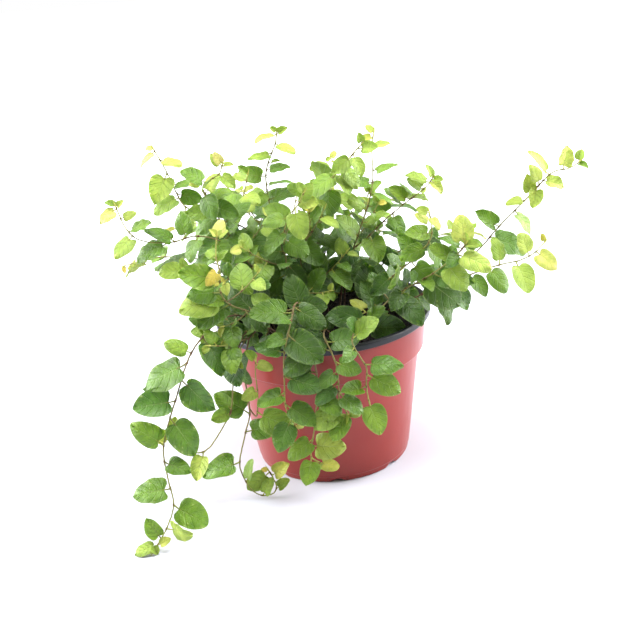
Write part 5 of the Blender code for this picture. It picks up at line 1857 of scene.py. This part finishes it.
@dataclass
class Studio:
    """The white floor, the soft lights and the camera, in metres."""

    floor_size: float = 30.0
    # The paper's pale lavender grey, with a painted shadow tint that shows where the floor is in shade near
    # the pot
    paper_colour_and_shadow_tint: str = "#CCCED8"
    # Painted light: the paper glows, fading in between these distances from the middle, so that it ends in
    # white
    floor_painted_glow_span: Span = (0.2, 0.8)
    target: Point = (-0.0027, 0.0, 0.0922)
    distance: float = 0.5907
    height_angle: float = 21.45
    roll: float = 5.07
    focal_pixels: float = 900.0
    frame_height: float = 640.0
    sensor: float = 36.0
    flag_distance: float = 1.5
    flag_width: float = 3.2
    flag_heights: Span = (0.02, 1.2)
    fill: float = 0.62
    lamps: tuple[Lamp, ...] = (Lamp("left softbox", (-1.40, 0.30, 0.70), 1.3, 64.0),
                               Lamp("right softbox", (1.40, 0.30, 0.70), 1.3, 64.0),
                               Lamp("top softbox", (0.0, 0.0, 2.0), 1.2, 46.0, "#FBFCFF"))

    def sheet(self, name: str, corners: list[Point], material: Material) -> Object:
        """A flat sheet.

        Args:
            name: Its name.
            corners: Its four corners, anticlockwise on the side that it faces.
            material: Its finish.

        Returns:
            The sheet.
        """
        mesh = bpy.data.meshes.new(name)
        mesh.from_pydata(corners, [], [(0, 1, 2, 3)])
        mesh.materials.append(material)
        return add_object(name, mesh)

    def floor(self) -> Object:
        """A pale floor that glows, as painted light, more and more away from the plant."""
        half = self.floor_size / 2
        material, node, dress = start_material("white seamless paper with painted glow")
        place = node("TexCoord", (), "Object")
        away = node("VectorMath", (place,), "Value", operation="LENGTH")
        # Painted light: the glow grows with distance from the middle of the floor
        glow = node("MapRange", (away, *self.floor_painted_glow_span), **SOFT_STEP)
        dress({"Base Color": linear(self.paper_colour_and_shadow_tint), "Roughness": 0.9,
               "Emission Color": linear("#FFFFFF"), "Emission Strength": glow})
        return self.sheet("floor", [(-half, -half, 0), (half, -half, 0), (half, half, 0), (-half, half, 0)],
                          material)

    def flag(self) -> Object:
        """A black cloth behind the camera, which keeps the front of the pot dark and deep."""
        wide, y = self.flag_width / 2, -self.flag_distance
        low, high = self.flag_heights
        material, _, dress = start_material("black woven cloth")
        dress({"Base Color": linear("#0A0A0A"), "Roughness": 1.0, "Specular IOR Level": 0.1})
        cloth = self.sheet("black flag", [(-wide, y, high), (wide, y, high), (wide, y, low), (-wide, y, low)],
                           material)
        cloth.visible_camera = False
        return cloth

    def light(self, lamp: Lamp) -> None:
        """Adds a lamp that points at the plant.

        Args:
            lamp: The lamp.
        """
        bulb = bpy.data.lights.new(lamp.name, "AREA")
        bulb.size, bulb.energy, bulb.color = lamp.size, lamp.power, linear(lamp.colour)[:3]
        holder = add_object(lamp.name, bulb)
        holder.location = lamp.place
        way = Vector(self.target) - Vector(lamp.place)
        holder.rotation_euler = way.to_track_quat("-Z", "Y").to_euler()

    def world(self) -> None:
        """White surroundings, which fill the shadows less than they show behind the plant."""
        world = bpy.data.worlds.new("white room")
        world.use_nodes = True
        tree = world.node_tree
        seen = add_node(tree, "LightPath", (), "Is Camera Ray")
        strength = add_node(tree, "MapRange", {"Value": seen, "To Min": self.fill, "To Max": 1.0})
        feed(tree, tree.nodes["Background"], {"Color": linear("#FFFFFF"), "Strength": strength})
        bpy.context.scene.world = world

    def camera(self) -> None:
        """The photograph's view."""
        angle = math.radians(self.height_angle)
        back = Vector((0.0, -math.cos(angle), math.sin(angle)))
        lens = bpy.data.cameras.new("camera")
        lens.sensor_width = self.sensor
        lens.lens = self.focal_pixels * self.sensor / self.frame_height
        camera = add_object("camera", lens)
        camera.location = Vector(self.target) + back * self.distance
        turn = back.to_track_quat("Z", "Y").to_matrix()
        camera.rotation_euler = (turn @ Matrix.Rotation(math.radians(-self.roll), 3, "Z")).to_euler()
        bpy.context.scene.camera = camera

    def build(self) -> None:
        """Sets the stage."""
        self.floor()
        self.flag()
        for lamp in self.lamps:
            self.light(lamp)
        self.world()
        self.camera()
        bpy.context.scene.view_settings.view_transform = "Standard"


def settle(piece: Object, node: str) -> None:
    """Puts a piece in the place of its solid.

    Args:
        piece: The piece.
        node: The solid's node.
    """
    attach(piece, "root")
    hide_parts(node)
    LOG.info("%s: %d faces", node, len(piece.data.polygons))


def main() -> None:
    """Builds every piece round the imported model."""
    logging.basicConfig(level=logging.INFO, format="%(message)s")
    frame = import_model()
    palette = Palette()
    settle(Pot().build([palette.wall.material(), palette.lining.material()]), "pot")
    settle(Soil().build([palette.peat.material()]), "potting_soil")
    skins = [finish.material() for finish in (palette.upper, palette.under, palette.stalk, palette.bark)]
    for shoot in plan_shoots():
        shoot.find_leaves(frame["nodes"][shoot.name])
        settle(Foliage(shoot=shoot).build(skins), shoot.name)
        found = sum(len(stem.leaves) for stem in shoot.stems)
        LOG.info("%s: %d of %d leaves found", shoot.name, found, len(shoot.wishes))
    Studio().build()


if __name__ == "__main__":
    main()
